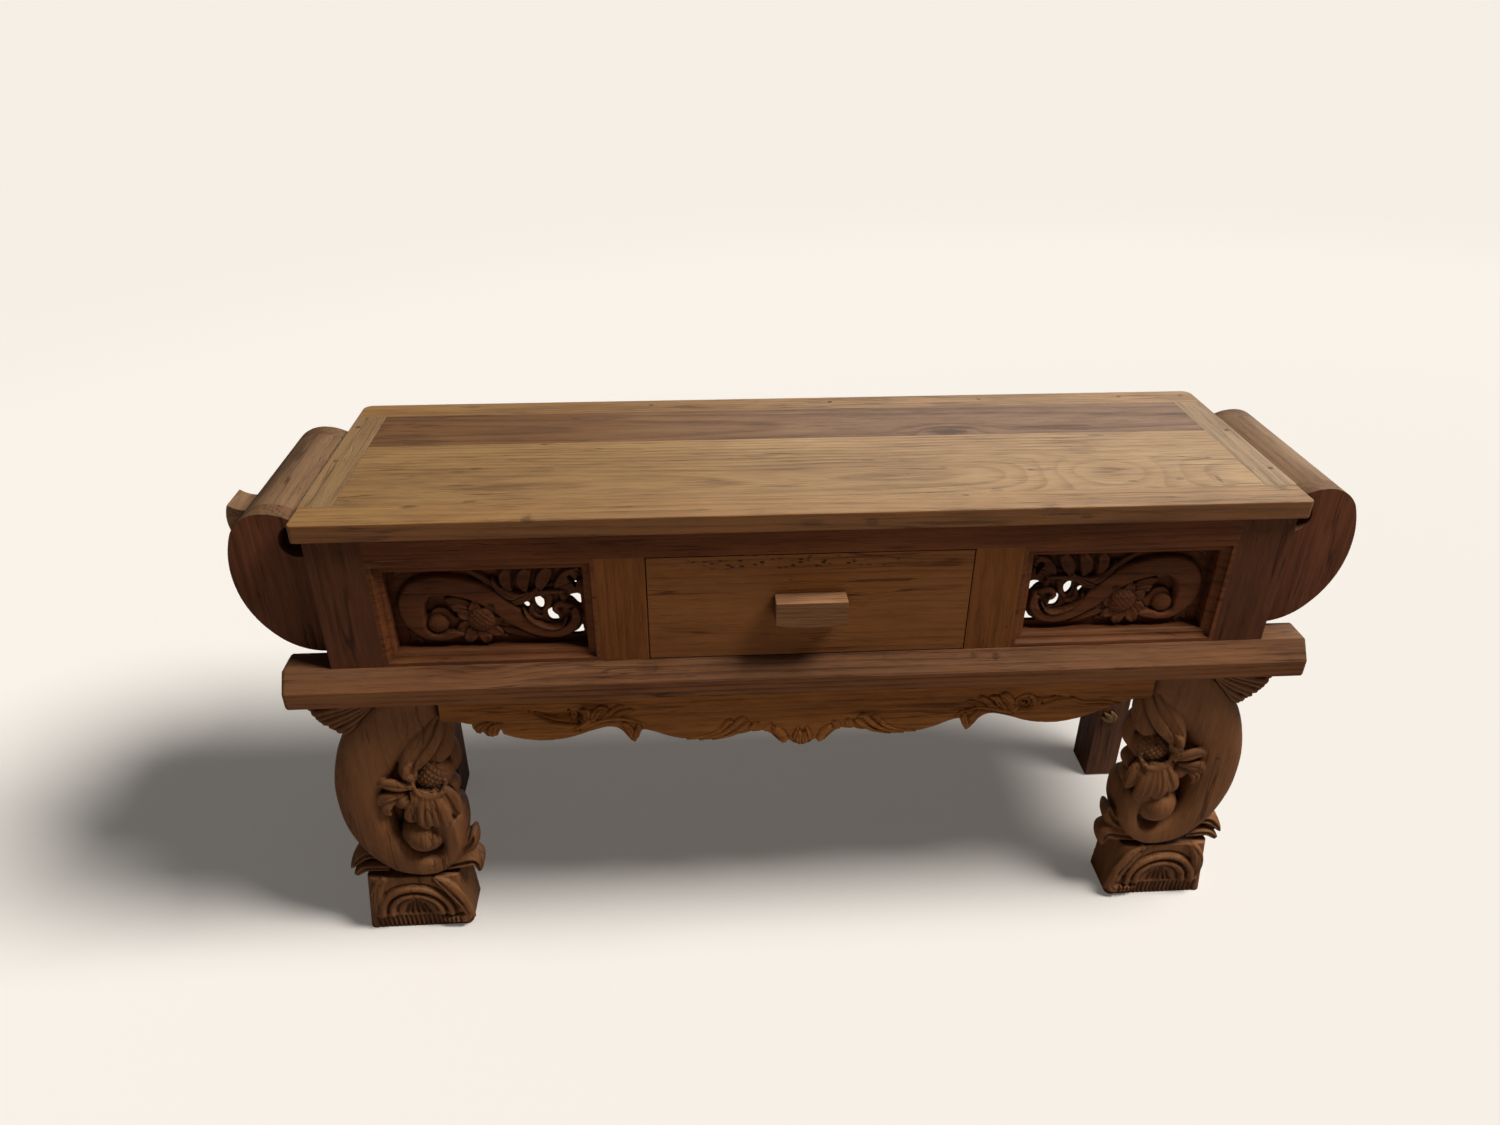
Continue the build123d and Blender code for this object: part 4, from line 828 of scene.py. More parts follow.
# front legs, in shares of the scroll's width from its inner side and of its height above the foot
# a leaf is its thickness, its count of flutes and its path with depths and half widths in millimetres
leg = {
    "inner": 540.0, "width": 183.0, "foot": 117.0, "height": 376.0, "front": -192.5, "back": -107.5,
    "leftShift": 8, "cell": 1.4, "soften": 2, "keep": 0.4, "flute": 0.45,
    "trunk": [
        ((0.42, 1.003), (0.0, 1.003)), ((0.6, 0.93), (0.0, 0.94)), ((0.77, 0.84), (0.02, 0.872)),
        ((0.88, 0.76), (0.213, 0.766)), ((0.95, 0.68), (0.36, 0.675)), ((1.015, 0.56), (0.48, 0.59)),
        ((1.035, 0.45), (0.56, 0.5)), ((1.015, 0.314), (0.588, 0.38)), ((0.93, 0.186), (0.572, 0.29)),
        ((0.809, 0.096), (0.53, 0.225)), ((0.645, 0.025), (0.465, 0.168)), ((0.432, 0.0), (0.366, 0.127)),
        ((0.25, 0.015), (0.27, 0.122)), ((0.098, 0.077), (0.215, 0.15)), ((0.005, 0.162), (0.19, 0.2)),
        ((-0.015, 0.253), (0.2, 0.25)), ((0.01, 0.325), (0.24, 0.275)), ((0.12, 0.355), (0.28, 0.28))],
    "balls": [(0.34, 0.238, -166.0, 37.0), (0.19, 0.552, -157.0, 32.0), (0.45, 0.44, -176.0, 17.0)],
    "core": [
        (0.16, 0.3), (0.45, 0.24), (0.62, 0.3), (0.64, 0.4), (0.58, 0.55), (0.47, 0.69), (0.3, 0.76),
        (0.14, 0.66), (0.09, 0.58), (0.11, 0.45), (0.1, 0.36)],
    "coreDepths": (-156.0, -122.0),
    "leaves": [
        # the calyx that folds round the flower
        (22, 1, [(0.02, 0.88, -172, 4), (0.11, 0.8, -179, 19), (0.24, 0.71, -184, 23),
            (0.345, 0.63, -184, 16), (0.385, 0.57, -180, 8), (0.34, 0.52, -176, 3)]),
        (30, 0, [(0.02, 0.86, -150, 4), (0.04, 0.76, -156, 15), (0.1, 0.67, -162, 19), (0.17, 0.6, -160, 8)]),
        # the small curl on the calyx
        (10, 0, [(0.3, 0.66, -190, 3), (0.355, 0.635, -195, 6), (0.36, 0.6, -195, 6), (0.31, 0.585, -193, 5),
            (0.28, 0.61, -191, 2)]),
        # pointed leaf and lobed leaf towards the outer side
        (13, 2, [(0.33, 0.515, -182, 3), (0.43, 0.545, -193, 10), (0.54, 0.56, -193, 10),
            (0.63, 0.545, -186, 2)]),
        (13, 2, [(0.42, 0.49, -184, 3), (0.53, 0.49, -192, 9), (0.61, 0.475, -190, 9),
            (0.635, 0.435, -186, 4)]),
        (12, 1, [(0.5, 0.46, -184, 3), (0.575, 0.435, -191, 8), (0.6, 0.4, -189, 6), (0.57, 0.375, -186, 2)]),
        # the rim under the flower
        (9, 0, [(0.35, 0.55, -183, 2.5), (0.31, 0.495, -190, 4), (0.21, 0.475, -192, 4.5),
            (0.11, 0.49, -190, 4), (0.055, 0.54, -182, 2.5)]),
        # petals under the flower
        (15, 2, [(0.28, 0.505, -184, 5), (0.34, 0.43, -192, 13), (0.39, 0.375, -192, 13),
            (0.4, 0.345, -187, 5)]),
        (16, 2, [(0.24, 0.5, -186, 6), (0.27, 0.41, -194, 14), (0.275, 0.345, -194, 14),
            (0.27, 0.31, -188, 5)]),
        (17, 2, [(0.19, 0.5, -185, 6), (0.16, 0.41, -193, 17), (0.14, 0.335, -192, 17),
            (0.13, 0.295, -185, 6)]),
        (16, 2, [(0.13, 0.51, -176, 5), (0.06, 0.455, -184, 15), (0.025, 0.39, -183, 13),
            (0.015, 0.35, -177, 4)]),
        (12, 1, [(0.36, 0.5, -184, 4), (0.335, 0.45, -189, 8), (0.36, 0.4, -188, 5)]),
        # the skin of leaves down the inner side
        (40, 1, [(0.24, 0.72, -140, 8), (0.11, 0.66, -140, 20), (0.05, 0.58, -142, 17), (0.1, 0.5, -144, 9)]),
        (38, 1, [(0.18, 0.5, -146, 8), (0.075, 0.455, -148, 14), (0.065, 0.42, -146, 9)]),
        (38, 1, [(0.18, 0.4, -146, 8), (0.09, 0.365, -148, 14), (0.08, 0.33, -146, 8)]),
        (34, 1, [(0.2, 0.33, -146, 10), (0.11, 0.285, -146, 14), (0.09, 0.25, -146, 8)]),
        # the trunk's tip runs onto the ball
        (52, 0, [(0.35, 0.275, -160, 22), (0.2, 0.285, -160, 24), (0.05, 0.275, -160, 22)]),
        # ears above the foot, outer then inner
        (44, 2, [(0.7, 0.1, -158, 8), (0.88, 0.12, -160, 15), (0.985, 0.085, -160, 10),
            (1.07, 0.025, -160, 2)]),
        (44, 1, [(0.72, 0.035, -160, 8), (0.9, 0.045, -162, 10), (0.99, 0.02, -162, 7),
            (1.045, -0.005, -160, 2)]),
        (44, 2, [(0.2, 0.06, -158, 8), (0.04, 0.12, -158, 17), (-0.045, 0.165, -158, 13),
            (-0.075, 0.205, -156, 4)]),
        (46, 2, [(0.25, 0.03, -160, 10), (0.06, 0.055, -162, 18), (-0.055, 0.06, -162, 14),
            (-0.085, -0.005, -160, 4)]),
        # leaves that hang over the foot's corners
        (14, 2, [(0.32, 0.0, -184, 6), (0.2, -0.06, -189, 12), (0.12, -0.14, -189, 13),
            (0.07, -0.22, -187, 10), (0.03, -0.27, -182, 3)]),
        (12, 2, [(0.76, 0.0, -185, 6), (0.84, -0.06, -188, 10), (0.875, -0.14, -188, 10),
            (0.88, -0.25, -184, 3)]),
        (16, 1, [(0.32, -0.275, -184, 4), (0.2, -0.265, -188, 7), (0.09, -0.255, -187, 9),
            (0.05, -0.2, -184, 4)]),
    ],
    # the foot's inset at its low inner corner, and how far its sides lean in, inner then outer
    "footFace": -186.0, "footInset": (9.0, 9.0, 13.0), "footRound": 14.0, "footSpare": 3,
    "arch": {"middle": (637.0, 34.0), "ribs": ((58, 6.5), (42, 6.0)), "ribSpan": (-4, 184, 0.98),
             "grooves": (66, 50, 35), "span": (4, 176), "cut": (2.4, 3.6)},
    # gouge lines, in millimetres from the table's middle and the floor; a cut is its half width and depth
    "field": {"low": (510.0, 0.0), "size": (240.0, 500.0), "cell": 0.7},
    "flower": {"middle": (571.0, 329.0), "radius": 25, "spacing": 7.4, "turns": (40, 130), "cut": (1.7, 3.8)},
    "collar": {"middle": (576, 326), "radii": (30, 35), "span": (-40, 100, 1.05), "cut": (1.0, 1.5)},
    "flutes": {"first": 567, "step": 7.6, "count": 19, "low": 2, "high": 25, "cut": (2.4, 6.0)},
    "rays": {"first": 617, "step": 10, "count": 5, "low": 33, "high": 62, "closing": 0.6, "drop": 0.5,
             "cut": (2.8, 6.5)},
    "grooves": [
        ([(548, 440), (562, 408), (588, 372), (602, 345)], 1.3, 2.4),
        ([(556, 446), (577, 410), (602, 372), (612, 350)], 1.0, 1.6),
        ([(603, 110), (584, 84), (566, 50)], 2.0, 4.2),
        ([(590, 108), (574, 84), (558, 56)], 1.8, 3.6),
        ([(688, 108), (702, 84), (706, 48)], 1.3, 2.2),
        ([(560, 36), (566, 22), (590, 16)], 1.5, 3.0),
        ([(712, 96), (704, 60), (712, 26)], 1.2, 1.8),
        ([(635, 240), (634, 212), (624, 182), (602, 163), (582, 168), (574, 184)], 3.4, 8.5),
    ],
    "left_": [([(571, 488), (573, 455), (570, 425), (574, 402)], 0.9, 3.0),
              ([(596, 158), (592, 150), (597, 143)], 1.0, 2.5)],
    "right_": [([(690, 395), (691, 396)], 1.6, 3.0), ([(676, 312), (677, 313)], 1.6, 3.0)],
}


def legSpot(across, up):
    return leg["inner"] + across * leg["width"], leg["foot"] + up * leg["height"]


def legLines(side):
    flower, collar, arch, flutes, rays = (leg[key] for key in ("flower", "collar", "arch", "flutes", "rays"))
    lines = leg["grooves"] + leg[side]
    for turn in flower["turns"]:
        hatch = hatchLines(flower["middle"], flower["radius"], flower["spacing"], turn)
        lines += [(line, *flower["cut"]) for line in hatch]
    for radius in collar["radii"]:
        lines.append((archLine(collar["middle"], radius, *collar["span"]), *collar["cut"]))
    for radius in arch["grooves"]:
        lines.append((archLine(arch["middle"], radius, *arch["span"]), *arch["cut"]))
    for step in range(flutes["count"]):
        x = flutes["first"] + step * flutes["step"]
        lines.append(([(x, flutes["low"]), (x + 1, flutes["high"])], *flutes["cut"]))
    for step in range(rays["count"]):
        away = rays["first"] + step * rays["step"] - arch["middle"][0]
        foot, tip = arch["middle"][0] + away, arch["middle"][0] + away * rays["closing"]
        lines.append(([(foot, rays["low"]), (tip, rays["high"] - abs(away) * rays["drop"])], *rays["cut"]))
    return lines


# takes the sharp arris off a foot's upright front edges
def roundFoot(mesh, turn, shift):
    spots = readSpots(mesh)
    across, back = spots[:, 0] * 1000 * turn - shift, spots[:, 1] * 1000 - leg["footFace"]
    up = spots[:, 2] * 1000
    low, lean, outward = leg["footInset"]
    share, radius = np.clip(up / leg["foot"], 0, 1), leg["footRound"]
    farthest = radius + leg["footSpare"]
    inner, outer = leg["inner"] + low + lean * share, leg["inner"] + leg["width"] - outward * share
    for edge, way in ((inner, 1), (outer, -1)):
        side, deep = radius - (across - edge) * way, radius - back
        away = np.hypot(side, deep)
        corner = (up < leg["foot"]) & (side > 0) & (deep > 0) & (side < farthest) & (deep < farthest)
        corner &= away > radius
        pull = radius / np.maximum(away, 1)
        across = np.where(corner, edge + (radius - side * pull) * way, across)
        back = np.where(corner, radius - deep * pull, back)
    spots[:, 0], spots[:, 1] = (across + shift) / 1000 * turn, (back + leg["footFace"]) / 1000
    writeSpots(mesh, spots)


def makeFoot(form):
    low, lean, outward = leg["footInset"]
    inner, outer, tall, face = leg["inner"] + low, leg["inner"] + leg["width"], leg["foot"], leg["footFace"]
    addSlab(form, [(inner, 0), (outer, 0), (outer - outward, tall), (inner + lean, tall)], face, leg["back"])
    arch = leg["arch"]
    for radius, thick in arch["ribs"]:
        line = archLine(arch["middle"], radius, *arch["ribSpan"])
        addLeaf(form, [(x, face, z, thick) for x, z in line], 2 * thick, 0, 0)


def makeLeg(side, material):
    form = bmesh.new()
    pairs = [(legSpot(*outer), legSpot(*inner)) for outer, inner in leg["trunk"]]
    addTrunk(form, pairs, leg["front"], leg["back"])
    for across, up, deep, radius in leg["balls"]:
        x, z = legSpot(across, up)
        addBall(form, (x, deep, z), radius)
    addSlab(form, [legSpot(*spot) for spot in leg["core"]], *leg["coreDepths"])
    for thick, flutes, rows in leg["leaves"]:
        path = []
        for across, up, deep, half in rows:
            x, z = legSpot(across, up)
            path.append((x, deep, z, half))
        addLeaf(form, path, thick, flutes, leg["flute"] if flutes else 0.0)
    makeFoot(form)
    mirrored = side == "left_"
    turn, shift = (-1, leg["leftShift"]) if mirrored else (1, 0)
    if mirrored:
        bmesh.ops.transform(form, matrix=Matrix.Translation((shift, 0, 0)), verts=form.verts)

    def detail(mesh):
        gouge(mesh, leg["field"], legLines(side), turn, shift)
        roundFoot(mesh, turn, shift)
    made = carve(side + "carvedLeg", form, leg["cell"], leg["soften"], leg["keep"], mirrored, detail)
    finishPiece(made, material, "teak_leg", side + "front_leg")
    print(side + "leg is carved,", len(made.data.polygons), "faces")


# apron, measured from its middle and up from the tip of its shell
apron = {
    "middle": -4.0, "low": 374.0, "size": (1088.0, 119.0), "back": -164.5, "ground": 28.0, "cell": 1.1,
    "uneven": 0.15, "keep": 0.28, "lineWidth": 2.2,
    "edge": [
        (544, 71), (516, 68), (490, 58), (462, 46), (441, 37), (415, 30), (391, 28), (365, 30), (345, 35),
        (320, 44), (298, 50), (284, 48), (275, 41), (267, 28), (258, 18), (250, 28), (244, 42), (228, 38),
        (205, 28), (176, 20), (148, 17), (122, 20), (95, 27), (70, 31), (54, 29), (44, 20), (36, 10), (28, 6),
        (21, 12), (15, 7), (9, 3)],
    "cornerLeaf": [
        (-500, 64), (-499, 56), (-494, 46), (-489, 43), (-484, 48), (-478, 38), (-470, 36), (-463, 41),
        (-457, 52)],
    "rightStrokes": [
        ("scoop", 28, 9, [(350, 80, 1), (366, 78, 3.5), (390, 77, 4.5), (418, 76, 1)]),
        ("leaf", 26, 3, [(372, 66, 1.5), (384, 71, 3), (398, 78, 1)]),
        ("round", 29.5, 6, [(414, 77, 1), (436, 67, 3), (467, 66, 3), (507, 57, 1)]),
        ("round", 29.5, 6, archLine((345, 68), 16, -120, 190)),
        ("round", 31.5, 7.5, [(344, 68, 10), (346, 68, 10)]),
        ("scoop", 30, 6, [(343, 68, 5.5), (346, 68, 5.5)]),
        ("round", 30, 3, [(342, 67, 3), (344, 67, 3)]),
        ("leaf", 31.5, 7.5, [(326, 60, 2), (322, 74, 5), (312, 86, 4.5), (303, 84, 2)]),
        ("leaf", 31.5, 7.5, [(318, 58, 2), (306, 68, 5.5), (298, 80, 5), (288, 82, 2)]),
        ("leaf", 31.5, 7.5, [(308, 56, 2), (294, 64, 5.5), (283, 76, 5), (272, 84, 2)]),
        ("leaf", 30, 6, [(300, 56, 2), (282, 62, 4.5), (266, 72, 4), (254, 76, 1.5)]),
        ("round", 30, 6, [(326, 50, 2), (304, 57, 3.5), (276, 62, 3.5), (254, 58, 3), (236, 47, 1.5)]),
    ],
    "leftStrokes": [
        ("scoop", 28, 15, [(-412, 85, 1.5), (-396, 79, 5), (-376, 73, 8.5), (-356, 72, 10), (-340, 70, 8)]),
        ("round", 24, 7, [(-404, 81, 1.5), (-382, 67, 3), (-360, 61, 3.5), (-340, 58, 3)]),
        ("leaf", 23, 7, [(-350, 64, 2), (-346, 72, 6), (-348, 80, 4), (-354, 82, 1.5)]),
        ("round", 31, 6, [(-346, 48, 2), (-332, 56, 5), (-322, 66, 6), (-322, 78, 5.5), (-331, 85, 4),
            (-338, 81, 3)]),
        ("leaf", 31.5, 7.5, [(-318, 58, 2), (-316, 74, 6), (-306, 86, 6.5), (-294, 84, 2.5)]),
        ("leaf", 30, 6, [(-308, 62, 2), (-296, 72, 5), (-284, 84, 4), (-274, 91, 1.5)]),
        ("leaf", 30, 6, [(-298, 63, 2), (-284, 70, 5), (-270, 79, 4), (-258, 82, 1.5)]),
        ("round", 30, 6, [(-338, 47, 2), (-316, 59, 3.5), (-292, 65, 3.5), (-266, 63, 3.5), (-240, 51, 1.5)]),
        ("leaf", 30, 6, [(-456, 64, 2), (-470, 54, 7), (-472, 40, 5)]),
        ("leaf", 30, 6, [(-470, 66, 2), (-486, 58, 7), (-492, 46, 4)]),
    ],
    "bothStrokes": [
        ("leaf", 31.5, 7.5, [(274, 58, 2), (264, 44, 5), (259, 30, 4.5), (257, 20, 1.5)]),
        ("leaf", 31.5, 7.5, [(250, 54, 2), (252, 42, 5), (256, 30, 4), (258, 20, 1.5)]),
        ("round", 30, 6, [(180, 21, 1), (150, 23, 2.8), (132, 31, 4), (120, 43, 4.5), (113, 53, 4),
            (106, 50, 2)]),
        ("round", 30.5, 6, [(160, 19, 1), (132, 24, 3), (114, 34, 4.5), (102, 47, 5), (94, 57, 4.5),
            (86, 54, 2)]),
        ("round", 30, 6, [(140, 18, 1), (112, 25, 3), (97, 34, 4.5), (86, 45, 4.5), (80, 46, 2)]),
        ("hollow", 30, 6, [(80, 32, 3), (73, 42, 6.5), (70, 48, 3)]),
        ("hollow", 30, 6, [(60, 31, 3), (52, 39, 6), (48, 45, 3)]),
        ("round", 31, 7, [(44, 36, 4), (36, 28, 7.5), (29, 17, 7), (27, 7, 4)]),
    ],
    # the tips of the shell's ribs; a rib's points are shares of a tip's x, heights above it and half widths
    "shell": [(-13, 12), (-8, 6), (-3, 2), (2.5, 2), (7.5, 6), (12.5, 12)],
    "rib": ("round", 31, 5, [(0.45, 24, 1.6), (0.85, 10, 2.8), (1, 0, 2.4)]),
    "hole": [(-357, 80), (-351, 80), (-353, 88)],
}


# the lower edge from right to left, with the leaf that the left corner has
def apronOutline(half, tall):
    edge = smoothPath(apron["edge"], 3).tolist()
    corner = apron["cornerLeaf"]
    mirror = [[-x, z] for x, z in edge[::-1]]
    left = [spot for spot in mirror if spot[0] >= corner[-1][0]] + corner[::-1]
    left += [spot for spot in mirror if spot[0] <= corner[0][0]]
    return [[x + half, z] for x, z in [(half, tall), *edge, (0, 0), *left, (-half, tall)]]


def apronStrokes(half):
    strokes = []
    for part, sign in (("rightStrokes", 1), ("leftStrokes", 1), ("bothStrokes", 1), ("bothStrokes", -1)):
        for profile, lift, rise, rows in apron[part]:
            path = [(sign * x + half, up, *(width or [apron["lineWidth"]])) for x, up, *width in rows]
            strokes.append((profile, lift, rise, path))
    *rib, rows = apron["rib"]
    for x, z in apron["shell"]:
        strokes.append((*rib, [(half + x * share, z + above, wide) for share, above, wide in rows]))
    return strokes


def makeApron(material):
    half, tall = apron["size"][0] / 2, apron["size"][1]
    hole = [(half + x, z) for x, z in apron["hole"]]
    painted = paintBoard(apron, apronStrokes(half), [hole], apronOutline(half, tall))
    made = reliefMesh("carvedApron", apron, painted, apron["middle"] - half, 1)
    finishPiece(made, material, "teak_apron", "front_apron")
    print("apron is carved,", len(made.data.polygons), "faces")


# brackets at the beam's ends, across from the leg and up from the lowest lobe
bracket = {
    "inner": 616.9, "low": 418.9, "back": -144.5, "size": (122.0, 74.1), "cell": 1.0,
    "ground": 35.0, "uneven": 0.2, "keep": 0.35,
    "outline": [
        (0, 76), (119, 76), (120.5, 62), (119.5, 50), (114, 39), (109, 33), (108, 25), (102, 18), (96, 17),
        (91, 16), (90, 8), (82, 2), (74, 1), (62, 3)],
    "strokes": [
        ("leaf", 42, 7, [(8, 71, 2), (60, 66, 8), (117, 62, 11)]),
        ("leaf", 42, 7, [(8, 68, 2), (58, 50, 8), (106, 36, 11)]),
        ("leaf", 42, 7, [(10, 64, 2), (52, 38, 8), (93, 19, 10)]),
        ("leaf", 42, 7, [(12, 58, 2), (46, 26, 7), (76, 5, 9)]),
    ],
}


def makeBracket(side, material):
    painted = paintBoard(bracket, bracket["strokes"], (), bracket["outline"])
    way, shift = (-1, leg["leftShift"]) if side == "left_" else (1, 0)
    start = way * (bracket["inner"] + shift)
    made = reliefMesh(side + "bracketCarving", bracket, painted, start, way, False)
    finishPiece(made, material, "teak_leg", side + "bracket")


# woods of the top
top = {
    "wide": {
        "tones": ((0.4467, 0.2614, 0.09641), (0.3376, 0.1829, 0.06427), (0.1788, 0.08712, 0.02892)),
        "cracks": 0.8, "topLight": 0.0, "gloss": 0.4, "rough": 0.48, "heart": (0.25, 0.1, -0.715),
        "ring": 0.0085, "wave": 0.036, "rings": 0.5, "knot": (0.445, -0.098, 0.787), "knotSize": 0.055,
        "knotDark": 0.05,
        "marks": faceMarks(0.787, [
            (-29.4, -159.8, 18.8, 7, 0.5), (-33.2, -161.7, 37.6, 12.7, 0.225),
            (-478.4, -37.2, 14.1, 4.6, 0.4125), (-502.7, -48.3, 16.4, 7, 0.3),
            (-490.4, -92.5, 25.8, 4.6, 0.4125), (-421.4, -138.5, 70.4, 2.6, 0.45),
            (-470.2, -144.1, 16.4, 4.6, 0.45), (-277.1, -159, 16.4, 5.8, 0.5),
            (-386.5, -45.2, 35.2, 13.9, 0.1875), (99, -37.8, 16.4, 4.6, 0.375),
            (429.3, -16.1, 35.2, 16.2, 0.2625), (354.3, -83.1, 18.8, 8.1, 0.3375),
            (265.2, -147.3, 14.1, 9.3, 0.375), (468.9, -128, 9.4, 4.6, 0.5), (492.4, -151.8, 14.1, 4.6, 0.5),
            (539.5, -123.9, 10.5, 7, 0.45), (471, 36.2, 16.4, 4.6, 0.5), (595.3, -126.8, 4.7, 18.6, 0.45),
            (612.7, -145.1, 35.2, 3.4, 0.375), (600.3, -150.9, 14.1, 4.6, 0.45)])},
    "grey": {
        "tones": ((0.2608, 0.1274, 0.04761), (0.1806, 0.07868, 0.02813), (0.0903, 0.03746, 0.01299)),
        "topLight": 0.0, "gloss": 0.32, "rough": 0.48, "heart": (1.2, -0.1, -0.74), "rings": 0.5, "wave": 0.05,
        "knot": (0.245, 0.066, 0.787), "knotSize": 0.03, "knotDark": 0.3,
        "marks": faceMarks(0.787, [
            (241.9, 62.1, 42.3, 16.2, 0.45), (263.7, 75.7, 35.2, 11.6, 0.3375),
            (-524.3, 32.2, 14.1, 4.6, 0.375), (-634.9, 40.2, 23.5, 11.6, 0.375)])},
    "rail": {
        "tones": ((0.2936, 0.1111, 0.02156), (0.2293, 0.08144, 0.01522), (0.1101, 0.0385, 0.006976)),
        # the rail's upward faces are painted much paler than its front: painted light
        "topLight": 1.6, "topLightTint": (1.43, 2.058, 3.67), "heart": (2.1, 0.26, -0.7), "ring": 0.009,
        "rings": 0.4, "gloss": 0.4, "rough": 0.5,
        "marks": faceMarks(0.787, [
            (-550.7, -154.7, 16.4, 7, 0.5), (-525.6, 204.2, 25.8, 4.6, 0.45), (217, -160.5, 9.4, 4.6, 0.5)])
        + edgeMarks(-0.2025, [
            (353.6, 775.5, 58.7, 2.8, 0.5), (324.3, 785.1, 21.1, 3, 0.5), (377.7, 770.8, 16.4, 4, 0.5),
            (80.2, 771.3, 14.1, 10, 0.375), (-3.8, 771.6, 23.5, 8, 0.2625), (-386.6, 785.9, 14.1, 5, 0.5)])},
    "end": {
        "tones": ((0.393, 0.2365, 0.1043), (0.2948, 0.1696, 0.06955), (0.1638, 0.08745, 0.03478)),
        "topLight": 0.0, "gloss": 0.4, "rough": 0.48, "grain": "y", "heart": (0.6, 0.2, 0.08)},
    "peg": {
        "tones": ((0.2, 0.12, 0.06), (0.12, 0.065, 0.03), (0.05, 0.03, 0.015)), "grain": "z"},
}


def finishTop():
    dress(makeWood("honeyTeak", top["wide"]), "top_wide_plank")
    dress(makeWood("greyTeak", top["grey"]), "top_dark_plank")
    dress(makeWood("topRailTeak", top["rail"]), "top_front_rail", "top_back_rail")
    dress(makeWood("topEndTeak", top["end"]), "top_left_end_board", "top_right_end_board")
    dress(makeWood("pegWood", top["peg"]), "top_pegs")
    print("top is finished")


# woods of the case
case = {
    "upright": {
        "tones": ((0.1778, 0.06349, 0.0247), (0.1217, 0.03968, 0.01537), (0.05616, 0.01786, 0.007686)),
        "streaks": 0.3, "grain": "z", "heart": (0.3, 0.25, 0.1)},
    "rail": {
        "tones": ((0.2453, 0.07745, 0.02184), (0.1673, 0.05012, 0.01378), (0.07812, 0.02278, 0.00689)),
        # upward faces of these rails and mouldings are painted paler: painted light
        "topLightTint": (1.0, 1.6, 2.7), "streaks": 0.35, "heart": (0.9, 0.2, 0.3)},
    "middleUpright": {
        "tones": ((0.2899, 0.1024, 0.02194), (0.2133, 0.06823, 0.01385), (0.1023, 0.03059, 0.00657)),
        "streaks": 0.28, "rings": 0.15, "grain": "z", "heart": (0.7, 0.1, 0.2)},
    "panel": {
        "tones": ((0.1893, 0.05984, 0.01915), (0.1291, 0.03872, 0.01211), (0.0602, 0.0176, 0.006098)),
        # the carving's edges are painted lighter, as wear and as a painted highlight
        "edge": 0.0026, "wearAndHighlight": 0.6, "rubbedAndHighlit": (0.22, 0.12, 0.07), "heart": (1.1, 0.2, 0.3), "ring": 0.02,
        # strong painted shade in the carving's hollows
        "cornerShade": 0.75, "cornerShadeReach": 0.008},
    "inside": {
        "tones": ((0.4, 0.25, 0.13), (0.3, 0.18, 0.09), (0.16, 0.09, 0.045)), "grain": "y"},
}


def finishCase():
    upright = makeWood("redTeakUpright", case["upright"])
    rail = makeWood("redTeakRail", case["rail"])
    middle = makeWood("middleTeak", case["middleUpright"])
    inside = makeWood("innerWood", case["inside"])
    carved = makeWood("panelTeak", case["panel"])
    for side in ("left_", "right_"):
        dress(upright, side + "front_stile", side + "rear_post")
        dress(middle, side + "middle_stile")
        makePanel(side, carved)
        dress(rail, side + "panel_moulding", side + "side_board")
        dress(inside, side + "drawer_runner", side + "drawer_guide", side + "end_rail")
    dress(rail, "front_top_rail", "rear_top_rail", "back_lower_board", "back_upper_board")
    dress(inside, "drawer_kicker", "drawer_stops", "top_battens")
    print("case is finished")
    return inside


# woods of the base
base = {
    "beam": {
        "tones": ((0.2492, 0.09813, 0.03429), (0.1827, 0.06597, 0.02198), (0.08306, 0.02894, 0.01)),
        "rings": 0.45, "knot": (-0.4665, -0.1843, 0.533), "knotSize": 0.022,
        # the beam's upward bevel is painted paler: painted light
        "topLightTint": (1.242, 1.823, 2.875), "heart": (0.4, 0.25, 0.45), "ring": 0.009,
        "marks": faceMarks(0.533, [
            (-466.5, -184.3, 11.7, 7, 0.5), (-235.2, -200.4, 23.5, 7, 0.3), (-225.5, -200.9, 7, 4.6, 0.45),
            (113.7, -191.3, 11.7, 9.3, 0.4125), (245.9, -198.5, 7, 5.8, 0.375), (279.6, -200.5, 7, 5.8, 0.45),
            (692, -218.1, 9.4, 8.1, 0.5)])
        + edgeMarks(-0.2135, [
            (475.9, 516.3, 35.2, 4, 0.45), (-202.4, 497.4, 47, 6, 0.3375)])},
    "apron": {
        "tones": ((0.4462, 0.1699, 0.03401), (0.3346, 0.117, 0.02228), (0.1495, 0.04727, 0.00995)),
        "heart": (0.8, 0.3, 0.3)},
    "leg": {
        "tones": ((0.296, 0.1278, 0.04682), (0.2171, 0.08525, 0.02995), (0.09865, 0.03847, 0.01377)),
        # the carving's edges are painted lighter, as wear and as a painted highlight
        "rings": 0.08, "streaks": 0.35, "edge": 0.003, "wearAndHighlight": 0.75, "rubbedAndHighlit": (0.34, 0.2, 0.115),
        "grain": "z", "heart": (0.1, 0.2, 0.3)},
    "rearLeg": {
        "tones": ((0.2079, 0.08949, 0.04571), (0.1455, 0.06122, 0.03053), (0.07284, 0.03134, 0.01518)),
        "grain": "z", "heart": (0.5, 0.2, 0.1)},
}

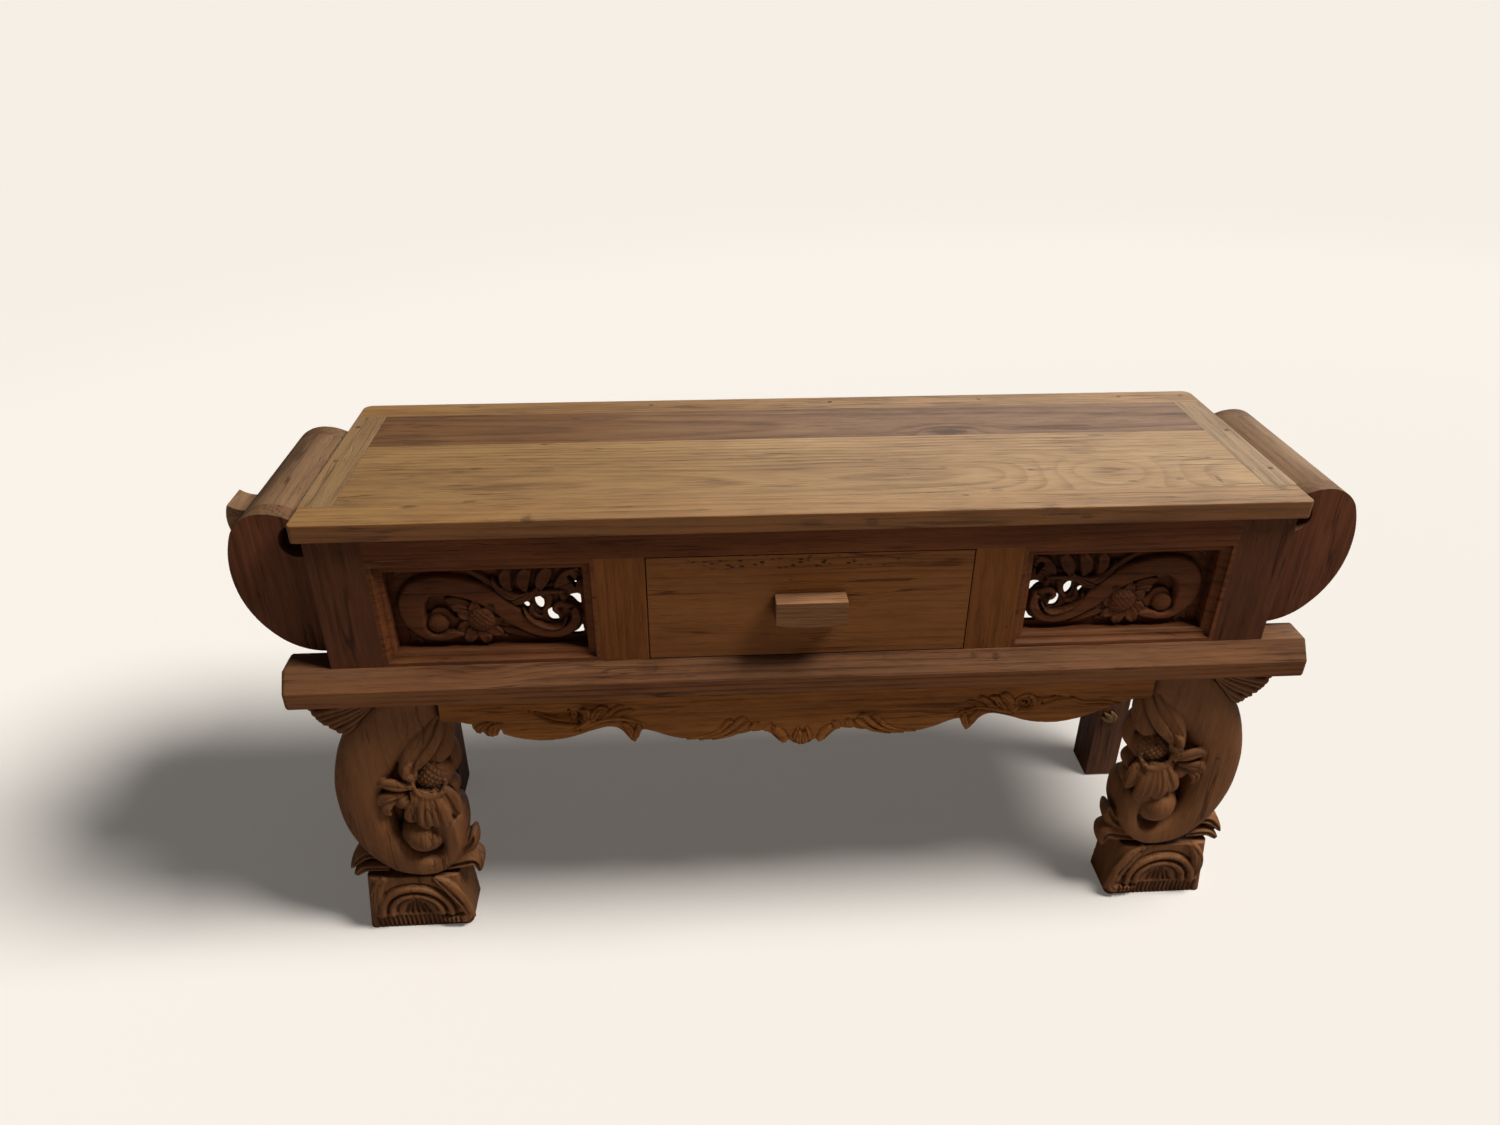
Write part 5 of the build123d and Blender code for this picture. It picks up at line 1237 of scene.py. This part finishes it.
# a small leaf carved on the right rear leg
rearLeaf = {
    "wood": {"grain": "z", "tones": ((0.4, 0.24, 0.1), (0.28, 0.16, 0.065), (0.1, 0.05, 0.02))},
    "thick": 8, "cell": 0.8, "soften": 1, "keep": 0.6,
    "leaves": [
        [(655, 121, 140, 3), (642, 118, 143, 4.5), (629, 118, 149, 3.5), (625, 121, 152, 1)],
        [(655, 121, 142, 3), (645, 117, 150, 4.5), (634, 117, 158, 4), (630, 120, 162, 1)],
        [(656, 121, 144, 3), (652, 117, 153, 4), (645, 117, 161, 4), (643, 120, 166, 1)],
    ],
}


def makeRearLeaf():
    form = bmesh.new()
    for path in rearLeaf["leaves"]:
        addLeaf(form, path, rearLeaf["thick"])
    made = carve("rearLegLeaf", form, rearLeaf["cell"], rearLeaf["soften"], rearLeaf["keep"])
    finishPiece(made, makeWood("leafTeak", rearLeaf["wood"]), "teak_carving")


def finishBase():
    legWood = makeWood("legTeak", base["leg"])
    rearLeg = makeWood("rearLegTeak", base["rearLeg"])
    dress(makeWood("beamTeak", base["beam"]), "front_beam", "rear_beam")
    makeApron(makeWood("apronTeak", base["apron"]))
    for side in ("left_", "right_"):
        makeLeg(side, legWood)
        makeBracket(side, legWood)
        dress(rearLeg, side + "rear_leg")
    makeRearLeaf()
    print("base is finished")


# woods of the wings
wing = {
    "slat": {
        "tones": ((0.2465, 0.1353, 0.06545), (0.178, 0.09075, 0.04081), (0.08217, 0.03878, 0.01848)),
        "grain": "y", "heart": (0.3, 0.4, 0.2)},
    "board": {
        "tones": ((0.2045, 0.06637, 0.02643), (0.1394, 0.04331, 0.01687), (0.06502, 0.01928, 0.008378)),
        # upward faces of the wing boards are painted paler: painted light
        "topLightTint": (1.25, 2.3, 2.7), "topLight": 1.0, "grain": "z", "heart": (0.2, 0.6, 0.3)},
}


def finishWings():
    slat = makeWood("weatheredSlat", wing["slat"])
    board = makeWood("wingBoardTeak", wing["board"])
    for side in ("left_", "right_"):
        dress(slat, side + "wing_top_slat", side + "wing_shoulder_slat", side + "wing_lower_slats")
        dress(board, side + "wing_front_board", side + "wing_rear_board")
    dress(slat, "left_wing_spur")
    print("wings are finished")


# woods of the drawer
drawer = {
    "front": {
        "tones": ((0.315, 0.1217, 0.03226), (0.2415, 0.08589, 0.02155), (0.112, 0.0358, 0.00862)),
        "streaks": 0.28, "patches": 0.9, "trail": ((-0.03, -0.176, 0.705), (0.23, 0.08, 0.015)),
        "heart": (1.4, 0.2, 0.25)},
    "handle": {
        "tones": ((0.3755, 0.1801, 0.07752), (0.2781, 0.1254, 0.0534), (0.145, 0.06358, 0.02477)),
        "heart": (2.2, 0.1, 0.1), "ring": 0.006},
}


def finishDrawer(inside):
    dress(makeWood("drawerTeak", drawer["front"]), "drawer_front")
    dress(makeWood("handleTeak", drawer["handle"]), "drawer_handle")
    dress(inside, "left_drawer_side", "right_drawer_side", "drawer_back", "drawer_bottom")
    print("drawer is finished")


finishTop()
innerWood = finishCase()
finishBase()
finishWings()
finishDrawer(innerWood)
